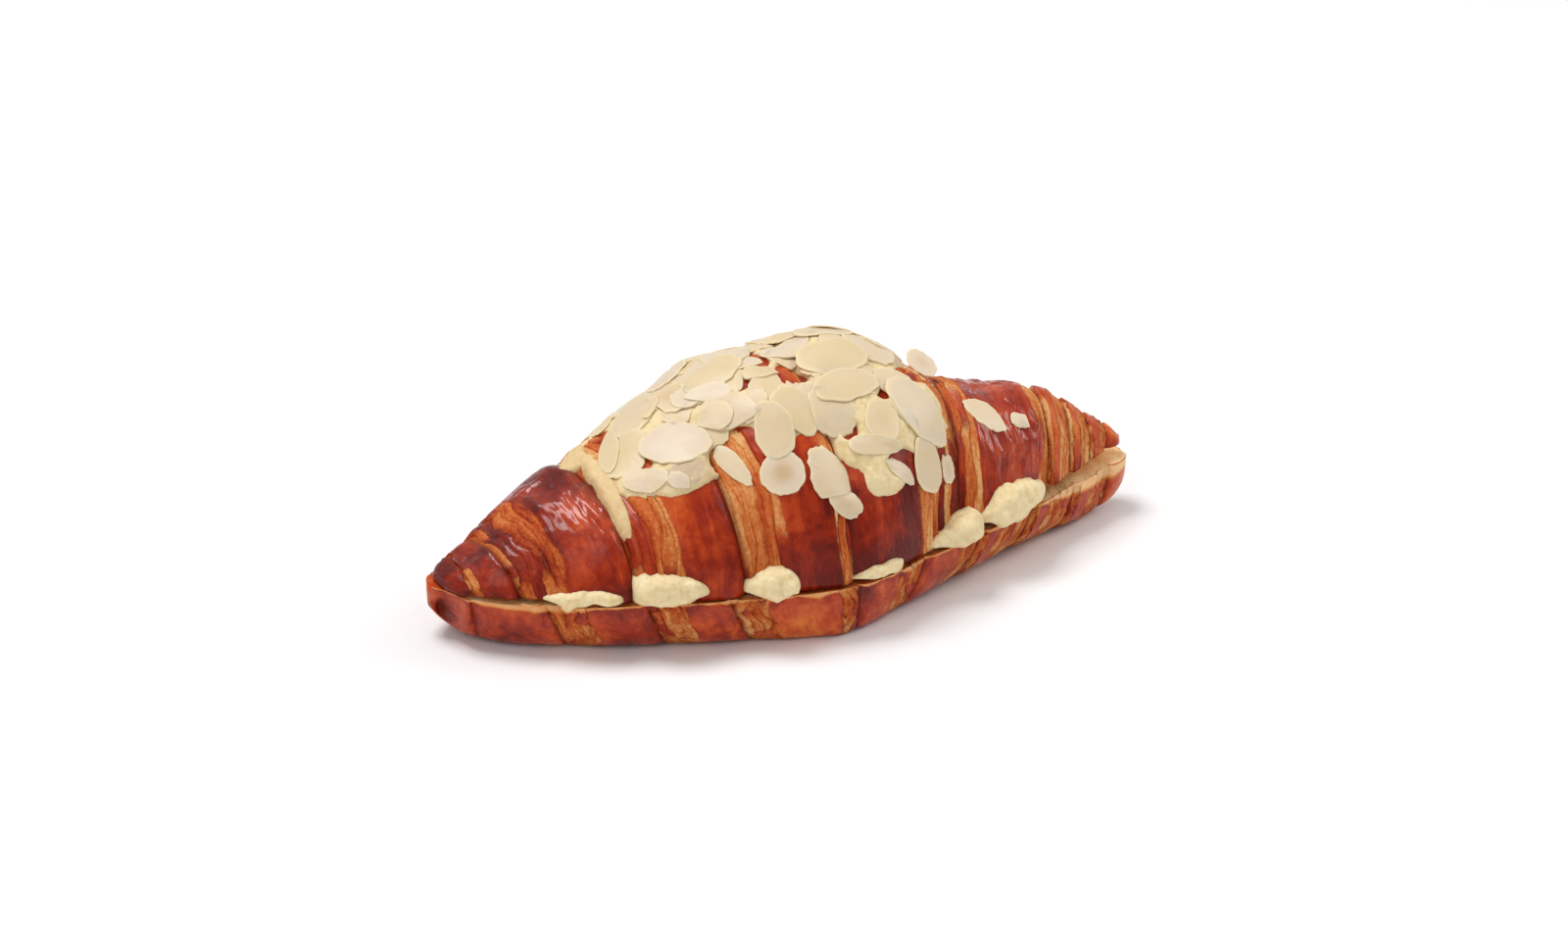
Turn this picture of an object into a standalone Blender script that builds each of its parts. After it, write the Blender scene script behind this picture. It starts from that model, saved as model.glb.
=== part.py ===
"""Almond croissant: a baked roll cut level into two halves, filled with almond cream, and topped with more of
the cream and with sliced almonds.

Lengths are in metres and angles in radians. X runs along the croissant from its left tip to its right tip, Y
runs away from its front side and Z is up. The origin is under the middle of the croissant, on the surface that
it lies on.

A point of the crust is found from two numbers. The roll position v counts the wraps of rolled dough from the
left tip, so a whole number is the seam between two wraps. The turn is the angle round the roll, 0 at the front
edge of the cut, a quarter turn at the crest and a half turn at the back edge of the cut.
"""

import math

import bmesh
import bpy
import numpy as np
from mathutils import Matrix, Vector
from mathutils.bvhtree import BVHTree

NAME = "almond_croissant"
QUARTER = math.pi / 2
SEED = 11

# The whole roll
LENGTH = 0.160
HALF = LENGTH / 2
LID_HALF = 0.0787  # the lid is a little shorter than the lower half
CUT = 0.012  # height of the level cut, and so of the lower half
CLEARANCE = 0.0004  # air between pieces that touch in the real thing

# Half widths of the cut, as width * (1 - t ** bend) ** end, with t from 0 in the middle to 1 at a tip
LOWER_FRONT_LEFT = (0.0365, 1.4, 0.55)
LOWER_FRONT_RIGHT = (0.0365, 1.1, 0.85)
LID_FRONT_LEFT = (0.0352, 1.4, 0.55)
LID_FRONT_RIGHT = (0.0352, 1.1, 0.97)
LOWER_BACK = (0.0358, 1.25, 0.97)
LID_BACK = (0.0352, 1.25, 1.0)
LOWER_TIP = 0.0062  # rounding of the lower half's blunt tips
LID_TIP = 0.0030
TIP_WIDTH = 0.9  # least half width beside a tip, as a share of its rounding
TIP_FADE = 0.020  # reach of a tip over which the cut faces turn flat

# Lid: how far its edge stands over the lower half, and the height of its crest over that edge along X
LID_GAP_MIDDLE = 0.0004
LID_GAP_TIPS = 0.0036
CREST = (
    (-0.0780, 0.0020),
    (-0.0700, 0.0070),
    (-0.0600, 0.0132),
    (-0.0500, 0.0178),
    (-0.0400, 0.0212),
    (-0.0200, 0.0312),
    (-0.0090, 0.0344),
    (0.0090, 0.0334),
    (0.0200, 0.0300),
    (0.0330, 0.0230),
    (0.0460, 0.0186),
    (0.0560, 0.0168),
    (0.0640, 0.0124),
    (0.0710, 0.0072),
    (0.0780, 0.0026),
)
CREST_POWER = 0.95
LID_VAULT = 0.0036  # how far the lid's underside is hollowed over the filling
LOWER_DISH = 0.0012  # how far the lower half's cut face is pressed down under the filling
DISH_POWER = 4  # the pressed face is flat in the middle and rises near its edge

# Lower half: how far the wall curves in below the edge of the cut, and how the tips rise off the surface
TUCK_LEFT = 0.0085
TUCK_CORNER = 0.0032
TUCK_RIGHT = 0.0125
TUCK_BACK = 0.0100
MOST_TUCK = 0.62  # as a share of the half width
CORNER_X = -0.0030
KEEL = 0.0120  # length of each tip that curves up off the surface
KEEL_RISE = 0.75

# Wraps of dough. A seam is (x at the front edge of the cut, x at the crest). A wrap's bands are the shares of
# it, at its left and right end, where the dough's cut edge shows its layers and slopes down into the seam.
LID_SEAMS = (
    (-LID_HALF, -LID_HALF),
    (-0.0655, -0.0700),
    (-0.0440, -0.0468),
    (-0.0222, -0.0258),
    (0.0000, 0.0010),
    (0.0295, 0.0345),
    (0.0560, 0.0585),
    (0.0625, 0.0648),
    (0.0688, 0.0702),
    (LID_HALF, LID_HALF),
)
LID_BANDS = ((0, 0), (0.46, 0), (0.48, 0), (0.42, 0.16), (0, 0.44), (0, 0.16), (0, 0.6), (0, 0.6), (0, 0))
LOWER_SEAMS = (
    (-HALF, -HALF),
    (-0.0748, -0.0765),
    (-0.0615, -0.0650),
    (-0.0425, -0.0460),
    (-0.0262, -0.0300),
    (0.0005, 0.0000),
    (0.0186, 0.0215),
    (0.0345, 0.0385),
    (0.0500, 0.0535),
    (0.0630, 0.0655),
    (0.0740, 0.0750),
    (HALF, HALF),
)
LOWER_BANDS = (
    (0, 0),
    (0, 0),
    (0.40, 0),
    (0.45, 0),
    (0.30, 0.18),
    (0, 0.45),
    (0, 0.45),
    (0, 0.5),
    (0, 0.5),
    (0, 0.4),
    (0, 0),
)
LID_RIDGE = 0.00145  # height of a wrap's crown over the smooth form, and depth of a seam under it
LOWER_RIDGE = 0.00085
LID_FADE = 0.016  # reach of a tip over which the ridges grow low
LOWER_FADE = 0.010
LEAST_RIDGE = 0.25  # share of the ridges that is left at the lid's tips
CROWN = 0.25  # share of a ridge that is the swell of the whole wrap
SHOULDER = 0.30  # share of a wrap that rises out of a seam with no band
SEAM = 0.02  # share of a wrap that is its seam
BAND_FOOT = 0.12  # height of a band where it leaves the seam
LAYERS = 1.5  # waves across a band, for its largest layers
LAYER_DEPTH = 0.12
# Slow bumps that keep the crust from looking turned: height, radians per metre of X, radians per turn, phase
BUMPS = ((0.3, 55, 4.7, 0.7), (0.3, 135, -0.5, 0.7), (0.4, 210, -3.4, 0.0))
LID_BUMPS = 0.35  # the bumps as a share of the ridges
LOWER_BUMPS = 0.30

# Grids: columns on a wrap between its bands, rows over the lid and down a wall of the lower half, points
# across a cut face and across the bottom
WRAP_COLUMNS = (0.0, 0.22, 0.55, 0.86, 1.0)
LID_TURNS = 16
LOWER_DOWNS = 5
ACROSS = 3
UNDER = 2
SLAB_STATIONS, SLAB_SIDES = 18, 10
SQUEEZED_SEGMENTS, SQUEEZED_RINGS = 10, 6
CREAM_RINGS, CREAM_SIDES = 6, 30

# Filling: a slab inside the edge of the cut, and cream squeezed out at the edge
SLAB_INSET = 0.0060
SLAB_GAP = 0.0008  # from the slab to the lid and to the lower half
SLAB_HALF_LENGTH = 0.064
SLAB_TIP = 0.001
SLAB_EDGE = 0.6  # power that rounds the slab's edge: 1 is an ellipse, less is squarer
# Each squeeze-out: side (-1 front, 1 back), first x, last x, half height, height of its middle over the cut,
# and how far it stands out past the edge
SQUEEZED = (
    (-1, -0.0635, -0.0460, 0.0024, 0.0014, 0.0030),
    (-1, -0.0455, -0.0295, 0.0033, 0.0032, 0.0032),
    (-1, -0.0236, -0.0120, 0.0033, 0.0028, 0.0036),
    (-1, 0.0018, 0.0122, 0.0018, 0.0017, 0.0016),
    (-1, 0.0155, 0.0345, 0.0030, 0.0024, 0.0038),
    (-1, 0.0335, 0.0540, 0.0037, 0.0032, 0.0038),
    (1, -0.0560, -0.0410, 0.0024, 0.0020, 0.0028),
    (1, -0.0340, -0.0200, 0.0030, 0.0026, 0.0034),
    (1, -0.0110, 0.0080, 0.0026, 0.0022, 0.0036),
    (1, 0.0170, 0.0290, 0.0032, 0.0028, 0.0034),
    (1, 0.0350, 0.0500, 0.0024, 0.0022, 0.0028),
)
SQUEEZED_REACH = 0.0170  # how far a squeeze-out runs in from its outer end, to join the slab
SQUEEZED_ROOT = 0.0008  # height over the cut of the inner end of a squeeze-out
SQUEEZED_CURL = 0.6  # share of the outer half over which it climbs to its full height
LUMPS = 0.07  # lumpiness of the squeezed cream, as a share of its radius

# Cream on top: the middle of the patch, its half sizes in x and turn, and its thickness
CREAM_MIDDLE = (-0.0035, math.radians(90))
CREAM_HALF_LENGTH = 0.0410
CREAM_FRONT_TURN = math.radians(60)  # reach from the crest down the front, and down the back
CREAM_BACK_TURN = math.radians(54)
CREAM_SQUARENESS = 2.8  # power of the superellipse that the border follows: 2 is an oval
CREAM_THICKNESS = 0.0024
CREAM_EDGE = 0.0002  # thickness left at the border
CREAM_ROOT = 0.0030  # how far its underside is sunk in the lid before the lid is cut from it
CREAM_WAVES = ((5, 2.0), (8, 1.0))  # waves of the border: how many round it, and phase
CREAM_WAVE = 0.04
CREAM_RIPPLE = 0.25  # how uneven its thickness is

# Sliced almonds
ALMOND_THICKNESS = 0.0009
ALMOND_SINK = 0.0004  # how deep one slice sits in what lies under it
ALMOND_SIDES = 8
ALMOND_BEVEL = 0.93  # size of the upper face as a share of the lower
ALMOND_TILT = 0.10  # most tilt of a slice from the crust under it
DROP_FROM = 0.05  # height from which a slice is let down
# Placed slices: x, turn in degrees, length, width, heading in degrees from +X towards the crest, taper
PLACED_ALMONDS = (
    (-0.0380, 101, 0.0120, 0.0062, 52, 0.1),
    (-0.0360, 59, 0.0105, 0.0055, -48, 0.0),
    (-0.0372, 76, 0.0130, 0.0095, 42, 0.3),
    (-0.0285, 72, 0.0140, 0.0110, -64, 0.1),
    (-0.0302, 95, 0.0125, 0.0095, 40, 0.1),
    (-0.0165, 70, 0.0125, 0.0100, -25, 0.2),
    (-0.0200, 62, 0.0080, 0.0070, -20, 0.0),
    (-0.0207, 50, 0.0112, 0.0044, -72, 0.1),
    (-0.0200, 94, 0.0140, 0.0105, 30, 0.1),
    (-0.0095, 58, 0.0145, 0.0092, 80, 0.3),
    (-0.0116, 41, 0.0108, 0.0098, -95, 0.1),
    (0.0015, 57, 0.0140, 0.0112, -88, 0.2),
    (-0.0022, 39, 0.0116, 0.0100, -67, -0.2),
    (-0.0007, 27, 0.0078, 0.0058, -50, 0.0),
    (-0.0070, 88, 0.0130, 0.0080, 60, 0.1),
    (0.0080, 71, 0.0160, 0.0095, -20, 0.1),
    (0.0040, 92, 0.0150, 0.0095, 35, 0.1),
    (0.0130, 103, 0.0130, 0.0100, -30, 0.1),
    (0.0095, 44, 0.0122, 0.0050, -20, 0.0),
    (0.0215, 56, 0.0165, 0.0112, -67, 0.1),
    (0.0213, 34, 0.0118, 0.0092, -98, 0.1),
    (0.0266, 33, 0.0062, 0.0042, -84, 0.0),
    (0.0215, 82, 0.0130, 0.0090, 30, 0.1),
    (0.0283, 103, 0.0082, 0.0062, -28, 0.1),
)
SCATTERED_ALMONDS = 18  # further slices, over the crest and down the back
SCATTER_X = (-0.037, 0.030)
SCATTER_TURN = (math.radians(96), math.radians(140))
SCATTER_APART = 0.0068
SCATTER_SHARE = 0.86  # how far out on the cream they may lie
SCATTER_LENGTH, SCATTER_WIDTH = 0.0130, 0.0092
SCATTER_SIZES = (0.80, 1.15)
SCATTER_TAPER = 0.15
LOOSE_ALMONDS = (
    (0.0410, 61, 0.0100, 0.0072, -48, 0.1),
    (0.0497, 52, 0.0050, 0.0034, -40, 0.2),
)


# Outlines and numbers


def smooth(x, points):
    """Value at x of the smooth curve through (x, value) points, without overshoot, level past both ends."""
    at, value = np.array(points, float).T
    step = np.diff(at)
    slope = np.diff(value) / step
    same_way = slope[1:] * slope[:-1] > 0
    inner = np.where(same_way, 2 * slope[1:] * slope[:-1] / np.where(same_way, slope[1:] + slope[:-1], 1), 0)
    lean = np.concatenate([slope[:1], inner, slope[-1:]])
    k = np.clip(np.searchsorted(at, x) - 1, 0, len(step) - 1)
    t = np.clip((x - at[k]) / step[k], 0, 1)
    bend = (t * (t - 1) ** 2 * lean[k] + t * t * (t - 1) * lean[k + 1]) * step[k]
    return value[k] * (1 + 2 * t) * (1 - t) ** 2 + value[k + 1] * t * t * (3 - 2 * t) + bend


def outline(x, rule):
    width, bend, end = rule
    return width * (1 - np.clip(np.abs(x) / HALF, 0, 1) ** bend) ** end


def tip_rounding(x, half, reach):
    """1 along the roll, falling as a quarter circle to 0 over the last reach of each tip."""
    into = np.clip((np.abs(x) - (half - reach)) / reach, 0, 1)
    return np.sqrt(1 - into * into)


def cut_width(x, front, rules, half, tip):
    """Half width of a half of the roll at the cut, from its (front left, front right, back) rules."""
    left, right, back = (outline(x, rule) for rule in rules)
    width = np.where(front, np.where(x < 0, left, right), back)
    return np.maximum(width, tip * TIP_WIDTH) * tip_rounding(x, half, tip)


def lid_width(x, front):
    return cut_width(x, front, (LID_FRONT_LEFT, LID_FRONT_RIGHT, LID_BACK), LID_HALF, LID_TIP)


def lower_width(x, front):
    return cut_width(x, front, (LOWER_FRONT_LEFT, LOWER_FRONT_RIGHT, LOWER_BACK), HALF, LOWER_TIP)


def lid_edge(x):
    """Height of the lid's lower edge, which lifts towards the tips."""
    return CUT + LID_GAP_MIDDLE + (LID_GAP_TIPS - LID_GAP_MIDDLE) * (np.abs(x) / HALF) ** 1.3


def unevenness(x, turn):
    """Sum of the slow bumps, from -1 to 1."""
    return sum(share * np.sin(along * x + around * turn + phase) for share, along, around, phase in BUMPS)


def flat_tips(x):
    """0 at a tip, rising to 1 along the roll."""
    return np.clip((HALF - np.abs(x)) / TIP_FADE, 0, 1)


# Wraps


def roll_x(v, turn, seams):
    """X of roll position v at a turn: a seam leans from its front x to its crest x and on at the same rate,
    and points between two seams keep their share of the way."""
    front, crest = np.array(seams).T
    wrap = np.clip(np.floor(v).astype(int), 0, len(front) - 2)
    start = front[wrap] + (crest - front)[wrap] * turn / QUARTER
    end = front[wrap + 1] + (crest - front)[wrap + 1] * turn / QUARTER
    return start + (v - wrap) * (end - start)


def rise(share, band):
    """0 in a seam to 1 on the wrap: a round shoulder, or the longer and stepped slope of a band."""
    shoulder = 1 - (1 - np.clip(share / SHOULDER, 0, 1)) ** 2
    along = np.clip(share / np.maximum(band, 1e-6), 0, 1)
    slope = BAND_FOOT + (1 - 2.5 * BAND_FOOT) * along + 1.5 * BAND_FOOT * shoulder
    layered = slope + LAYER_DEPTH * np.sin(2 * math.pi * LAYERS * along)
    return np.where(band > 0, layered, shoulder) * np.clip(share / SEAM, 0, 1)


def relief(v, bands):
    """Height of the crust over its smooth form, from -1 in a seam to about 1 on the crown of a wrap."""
    left, right = np.array(bands, float).T
    wrap = np.clip(np.floor(v).astype(int), 0, len(left) - 1)
    share = v - wrap
    on_wrap = rise(share, left[wrap]) * rise(1 - share, right[wrap])
    return -1 + (2 - CROWN) * on_wrap + CROWN * np.sin(math.pi * share)


def columns(bands):
    """Roll positions of the grid's columns: seams, layers and ends of bands, and some on each wrap."""
    layer_middles = np.arange(0.25, LAYERS, 0.5) / LAYERS
    found = []
    for wrap, (left, right) in enumerate(bands):
        inside = [left + (1 - right - left) * share for share in WRAP_COLUMNS]
        shares = [0.0, *inside, *(left * layer_middles), *(1 - right * layer_middles)]
        found += [wrap + share for share in sorted({round(float(share), 6) for share in shares}) if share < 1]
    return np.array(found[1:])


# Lid


def lid_form(x, turn):
    """Smooth lid at (x, turn): y, z, and the outward direction in the YZ plane."""
    width = lid_width(x, np.cos(turn) > 0)
    height = np.maximum(smooth(x, CREST), LID_TIP) * tip_rounding(x, LID_HALF, LID_TIP)
    c, s = np.cos(turn), np.sin(turn)
    steep = np.hypot(height * c, width * s) + 1e-9
    return -width * c, lid_edge(x) + height * np.abs(s) ** CREST_POWER, -height * c / steep, width * s / steep


def lid_points(v, turn, lift=0.0):
    """Crust of the lid at (v, turn), lifted along its outward direction."""
    x = roll_x(v, turn, LID_SEAMS)
    y, z, out_y, out_z = lid_form(x, turn)
    depth = LID_RIDGE * (relief(v, LID_BANDS) + LID_BUMPS * unevenness(x, turn))
    fade = np.clip((HALF - np.abs(x)) / LID_FADE, LEAST_RIDGE, 1)
    off = depth * fade * tip_rounding(x, LID_HALF, LID_TIP) + lift
    return np.stack([x, y + out_y * off, np.maximum(z + out_z * off, lid_edge(x))], -1)


def lid_rings(turns, across, lift=0.0):
    """A ring of points for each column: over the crust from front to back, then back under the cut face."""
    v = columns(LID_BANDS)[:, None]
    crust = lid_points(v, np.linspace(0, math.pi, turns)[None, :], lift)
    share = np.linspace(1, 0, across + 2)[None, 1:-1, None]
    under = crust[:, :1] * (1 - share) + crust[:, -1:] * share
    vault = LID_VAULT * (1 - (2 * share[..., 0] - 1) ** 2) * flat_tips(under[..., 0])
    under[..., 2] = lid_edge(under[..., 0]) + vault - lift
    return np.concatenate([crust, under], 1)


# Lower half


def tuck(x, front):
    """How far the wall has curved in where it meets the surface it lies on."""
    right = smooth(x, ((CORNER_X, TUCK_CORNER), (0.030, TUCK_RIGHT * 0.75), (0.060, TUCK_RIGHT)))
    left = smooth(x, ((-0.060, TUCK_LEFT), (-0.030, TUCK_LEFT * 0.85), (CORNER_X, TUCK_CORNER)))
    inward = np.where(front, np.where(x < CORNER_X, left, right), TUCK_BACK)
    return np.minimum(inward, MOST_TUCK * lower_width(x, front))


def lower_wall(v, down, front):
    """Wall of the lower half, from the edge of the cut (down 0) to the surface it lies on (down 1)."""
    angle = np.asarray(down) * QUARTER
    x = roll_x(v, -angle if front else math.pi + angle, LOWER_SEAMS)
    width = lower_width(x, front)
    depth = CUT * np.sqrt(1 - KEEL_RISE * np.clip((np.abs(x) - (HALF - KEEL)) / KEEL, 0, 1) ** 2)
    ridge = LOWER_RIDGE * (relief(v, LOWER_BANDS) + LOWER_BUMPS * unevenness(x, -angle))
    fade = np.clip((HALF - np.abs(x)) / LOWER_FADE, 0, 1) * np.cos(angle) ** 0.5
    out = width - tuck(x, front) * (1 - np.cos(angle)) + ridge * fade
    return np.stack([x, (-1 if front else 1) * out, CUT - depth * np.sin(angle)], -1)


def lower_rings(downs, across):
    """A ring of points for each column: down the front, under, up the back, and over the dished cut face."""
    v = columns(LOWER_BANDS)[:, None]
    down = np.linspace(0, 1, downs)[None, :]
    front, back = lower_wall(v, down, True), lower_wall(v, down[:, ::-1], False)
    share = np.linspace(0, 1, UNDER + 2)[None, 1:-1, None]
    under = front[:, -1:] * (1 - share) + back[:, :1] * share
    share = np.linspace(0, 1, across + 2)[None, 1:-1, None]
    over = back[:, -1:] * (1 - share) + front[:, :1] * share
    over[..., 2] -= LOWER_DISH * (1 - (2 * share[..., 0] - 1) ** DISH_POWER) * flat_tips(over[..., 0])
    return np.concatenate([front, under, back, over], 1)


# Meshes


def add_object(name, mesh, collection):
    obj = bpy.data.objects.new(name, mesh)
    collection.objects.link(obj)
    return obj


def closed_mesh(name, vertices, faces):
    mesh = bpy.data.meshes.new(name)
    mesh.from_pydata([tuple(point) for point in vertices], [], faces)
    shell = bmesh.new()
    shell.from_mesh(mesh)
    bmesh.ops.recalc_face_normals(shell, faces=shell.faces)
    bmesh.ops.triangulate(shell, faces=shell.faces)
    shell.to_mesh(mesh)
    shell.free()
    return mesh


def loft(name, rings, first_tip, last_tip):
    """Closed skin over rings of equal length, drawn to a point at both ends."""
    count, sides = rings.shape[:2]
    vertices = np.concatenate([rings.reshape(-1, 3), [first_tip, last_tip]])
    faces = []
    for i in range(sides):
        j = (i + 1) % sides
        faces.append((count * sides, j, i))
        faces.append((count * sides + 1, (count - 1) * sides + i, (count - 1) * sides + j))
        for k in range(count - 1):
            faces.append((k * sides + i, k * sides + j, (k + 1) * sides + j, (k + 1) * sides + i))
    return closed_mesh(name, vertices, faces)


def boolean(obj, collection, operation):
    """Joins or cuts obj with a collection in one applied step. Where slices lie on each other the EXACT solver
    leaves holes, so all of these closed shapes go through MANIFOLD."""
    modifier = obj.modifiers.new(operation.title(), "BOOLEAN")
    modifier.operation = operation
    modifier.operand_type = "COLLECTION"
    modifier.solver = "MANIFOLD"
    modifier.collection = collection
    bpy.context.view_layer.update()
    graph = bpy.context.evaluated_depsgraph_get()
    mesh = bpy.data.meshes.new_from_object(obj.evaluated_get(graph))
    obj.modifiers.clear()
    obj.data = mesh


def empty_collection(collection):
    for helper in list(collection.objects):
        bpy.data.objects.remove(helper)


def keep_largest_shell(obj):
    """Drops the scraps and sealed hollows that a Boolean leaves, and merges points that fall together."""
    shell = bmesh.new()
    shell.from_mesh(obj.data)
    bmesh.ops.triangulate(shell, faces=shell.faces)
    unseen = set(shell.faces)
    shells = []
    while unseen:
        group, front = set(), [unseen.pop()]
        while front:
            face = front.pop()
            group.add(face)
            near = {other for edge in face.edges for other in edge.link_faces} & unseen
            unseen -= near
            front += near
        volume = sum(face.verts[0].co.dot(face.verts[1].co.cross(face.verts[2].co)) for face in group)
        shells.append((volume, group))
    largest = max(shells, key=lambda pair: pair[0])[1]
    bmesh.ops.delete(shell, geom=[face for face in shell.faces if face not in largest], context="FACES")
    loose = [vert for vert in shell.verts if not vert.link_faces]
    bmesh.ops.delete(shell, geom=loose, context="VERTS")
    shell.to_mesh(obj.data)
    shell.free()


# Filling


def squeezed_mesh(name, side, first, last, half_height, over_cut, stand_out, grow):
    """A lumpy egg of cream along the edge of the cut, from first to last x, that reaches in to the slab."""
    front = side < 0
    ends = np.array([[x, side * float(lower_width(np.float64(x), front)), 0] for x in (first, last)])
    along = ends[1] - ends[0]
    half_length = np.linalg.norm(along) / 2
    along /= 2 * half_length
    outward = np.array([-along[1], along[0], 0]) * (1 if along[0] * side > 0 else -1)
    half_reach = SQUEEZED_REACH / 2
    middle = ends.mean(0) + outward * (stand_out - half_reach) + [0, 0, CUT]
    vertices, faces = uv_sphere(SQUEEZED_SEGMENTS, SQUEEZED_RINGS)
    a, b, c = vertices.T
    lumps = 1 + LUMPS * (np.sin(5 * a + 2 * c + 450 * first) + 0.7 * np.cos(4 * b - 4 * a + 60 * last))
    radii = (half_length + grow, half_reach + grow, half_height + grow)
    outer = np.clip(b / SQUEEZED_CURL, 0, 1)
    centre_height = SQUEEZED_ROOT + (over_cut - SQUEEZED_ROOT) * outer
    points = middle + (
        (a * lumps * radii[0])[:, None] * along
        + (b * lumps * radii[1])[:, None] * outward
        + (c * lumps * radii[2] + centre_height)[:, None] * np.array([0, 0, 1.0])
    )
    return closed_mesh(name, points, faces)


def uv_sphere(segments, rings):
    shell = bmesh.new()
    bmesh.ops.create_uvsphere(shell, u_segments=segments, v_segments=rings, radius=1)
    shell.verts.index_update()
    vertices = np.array([vert.co[:] for vert in shell.verts])
    faces = [tuple(vert.index for vert in face.verts) for face in shell.faces]
    shell.free()
    return vertices, faces


def slab_rings(stations, sides):
    """Rings of the slab: a flat lens that follows the vaulted lid above it and the dished face below it."""
    x = np.linspace(-SLAB_HALF_LENGTH, SLAB_HALF_LENGTH, stations)[:, None]
    angle = np.linspace(0, 2 * math.pi, sides, endpoint=False)[None, :]
    y_share = -np.cos(angle)
    front = y_share < 0
    fade = (1 - (x / (SLAB_HALF_LENGTH + SLAB_TIP)) ** 2) ** 0.25
    half = np.maximum(np.minimum(lid_width(x, front), lower_width(x, front)) - SLAB_INSET, SLAB_TIP) * fade
    y = half * y_share
    across = y / lid_width(x, front)
    top = lid_edge(x) + LID_VAULT * (1 - across**2) * flat_tips(x) - SLAB_GAP
    bottom = CUT - LOWER_DISH * (1 - across**DISH_POWER) * flat_tips(x) + SLAB_GAP
    middle, half_thick = (top + bottom) / 2, (top - bottom) / 2
    z = middle + half_thick * np.sign(np.sin(angle)) * np.abs(np.sin(angle)) ** SLAB_EDGE
    return np.stack([x + 0 * angle, y, z], -1)


# Topping


def lid_spot(x, turn):
    """Point on the smooth lid at x and turn, and its outward, along and up-the-side directions."""

    def at(x, turn):
        y, z, _, _ = lid_form(np.float64(x), np.float64(turn))
        return Vector((x, float(y), float(z)))

    step = 0.0005
    here = at(x, turn)
    along = (at(x + step, turn) - at(x - step, turn)).normalized()
    up = at(x, turn + 0.02) - at(x, turn - 0.02)
    out = along.cross(up).normalized()
    return here, out, along, out.cross(along)


def cream_share(x, turn):
    """How far out in the patch of cream a place on the lid is, 0 in its middle and 1 at its border."""
    reach = CREAM_FRONT_TURN if turn < CREAM_MIDDLE[1] else CREAM_BACK_TURN
    parts = abs(x - CREAM_MIDDLE[0]) / CREAM_HALF_LENGTH, abs(turn - CREAM_MIDDLE[1]) / reach
    return sum(part**CREAM_SQUARENESS for part in parts) ** (1 / CREAM_SQUARENESS)


def cream_mesh(name):
    """The patch of cream: a closed lens with an uneven border, sunk in the lid, which is later cut from it."""
    angle = np.linspace(0, 2 * math.pi, CREAM_SIDES, endpoint=False)[None, :]
    share = np.linspace(0, 1, CREAM_RINGS + 1)[1:, None]
    square = np.abs(np.cos(angle)) ** CREAM_SQUARENESS + np.abs(np.sin(angle)) ** CREAM_SQUARENESS
    border = square ** (-1 / CREAM_SQUARENESS)
    border = border * (1 + CREAM_WAVE * sum(np.sin(count * angle + phase) for count, phase in CREAM_WAVES))
    x = CREAM_MIDDLE[0] + CREAM_HALF_LENGTH * share * border * np.cos(angle)
    reach = np.where(np.sin(angle) > 0, CREAM_FRONT_TURN, CREAM_BACK_TURN)
    turn = CREAM_MIDDLE[1] - reach * share * border * np.sin(angle)
    ripple = 1 + CREAM_RIPPLE * np.sin(400 * x + 9 * turn)
    thick = CREAM_THICKNESS * (1 - share**5) ** 0.5 * ripple + CREAM_EDGE
    levels = []
    for lift in (thick, -CREAM_ROOT + 0 * thick):
        y, z, out_y, out_z = lid_form(x, turn)
        levels.append(np.stack([x, y + out_y * lift, z + out_z * lift], -1))
    middle, out, _, _ = lid_spot(*CREAM_MIDDLE)
    poles = [tuple(middle + out * lift) for lift in (CREAM_THICKNESS, -CREAM_ROOT)]
    skin = np.concatenate([levels[0], levels[1][::-1]], 0)
    return loft(name, skin, *poles)


def almond_outline(length, width, taper):
    """Outline of a slice in its own plane: an oval that is narrower towards one end."""
    angle = np.linspace(0, 2 * math.pi, ALMOND_SIDES, endpoint=False)
    return length / 2 * np.cos(angle), width / 2 * np.sin(angle) * (1 - taper * np.cos(angle))


def almond_mesh(name, pose, length, width, taper):
    """A thin slice with a bevelled edge, set in place by pose."""
    x, y = almond_outline(length, width, taper)
    half = ALMOND_THICKNESS / 2
    top = np.stack([x * ALMOND_BEVEL, y * ALMOND_BEVEL, 0 * x + half], -1)
    bottom = np.stack([x, y, 0 * x - half], -1)
    mesh = loft(name, np.stack([top, bottom]), (0, 0, half), (0, 0, -half))
    mesh.transform(pose)
    return mesh


def lay_almond(name, collection, beds, x, turn, length, width, heading, taper, tilt):
    """Lays a slice on what is already there: it drops along the lid's outward direction until its outline or
    its middle meets a bed. Each bed is (tree, how far the slice's underside stays above it)."""
    here, out, along, up = lid_spot(x, turn)
    out = (out + along * tilt[0] + up * tilt[1]).normalized()
    axis = (along * math.cos(heading) + up * math.sin(heading)).normalized()
    side = out.cross(axis).normalized()
    axis = side.cross(out)
    ox, oy = almond_outline(length, width, taper)
    probes = [here + axis * a * s + side * b * s for a, b in zip(ox, oy) for s in (0.5, 1.0)] + [here]
    height = -DROP_FROM
    for probe in probes:
        for tree, above in beds:
            hit = tree.ray_cast(probe + out * DROP_FROM, -out)[0]
            if hit is not None:
                height = max(height, (hit - probe).dot(out) + above)
    centre = here + out * (height + ALMOND_THICKNESS / 2)
    pose = Matrix.Translation(centre) @ Matrix((axis, side, out)).transposed().to_4x4()
    return add_object(name, almond_mesh(name, pose, length, width, taper), collection)


def tree_of(obj):
    return BVHTree.FromPolygons([v.co for v in obj.data.vertices], [p.vertices[:] for p in obj.data.polygons])


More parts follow.
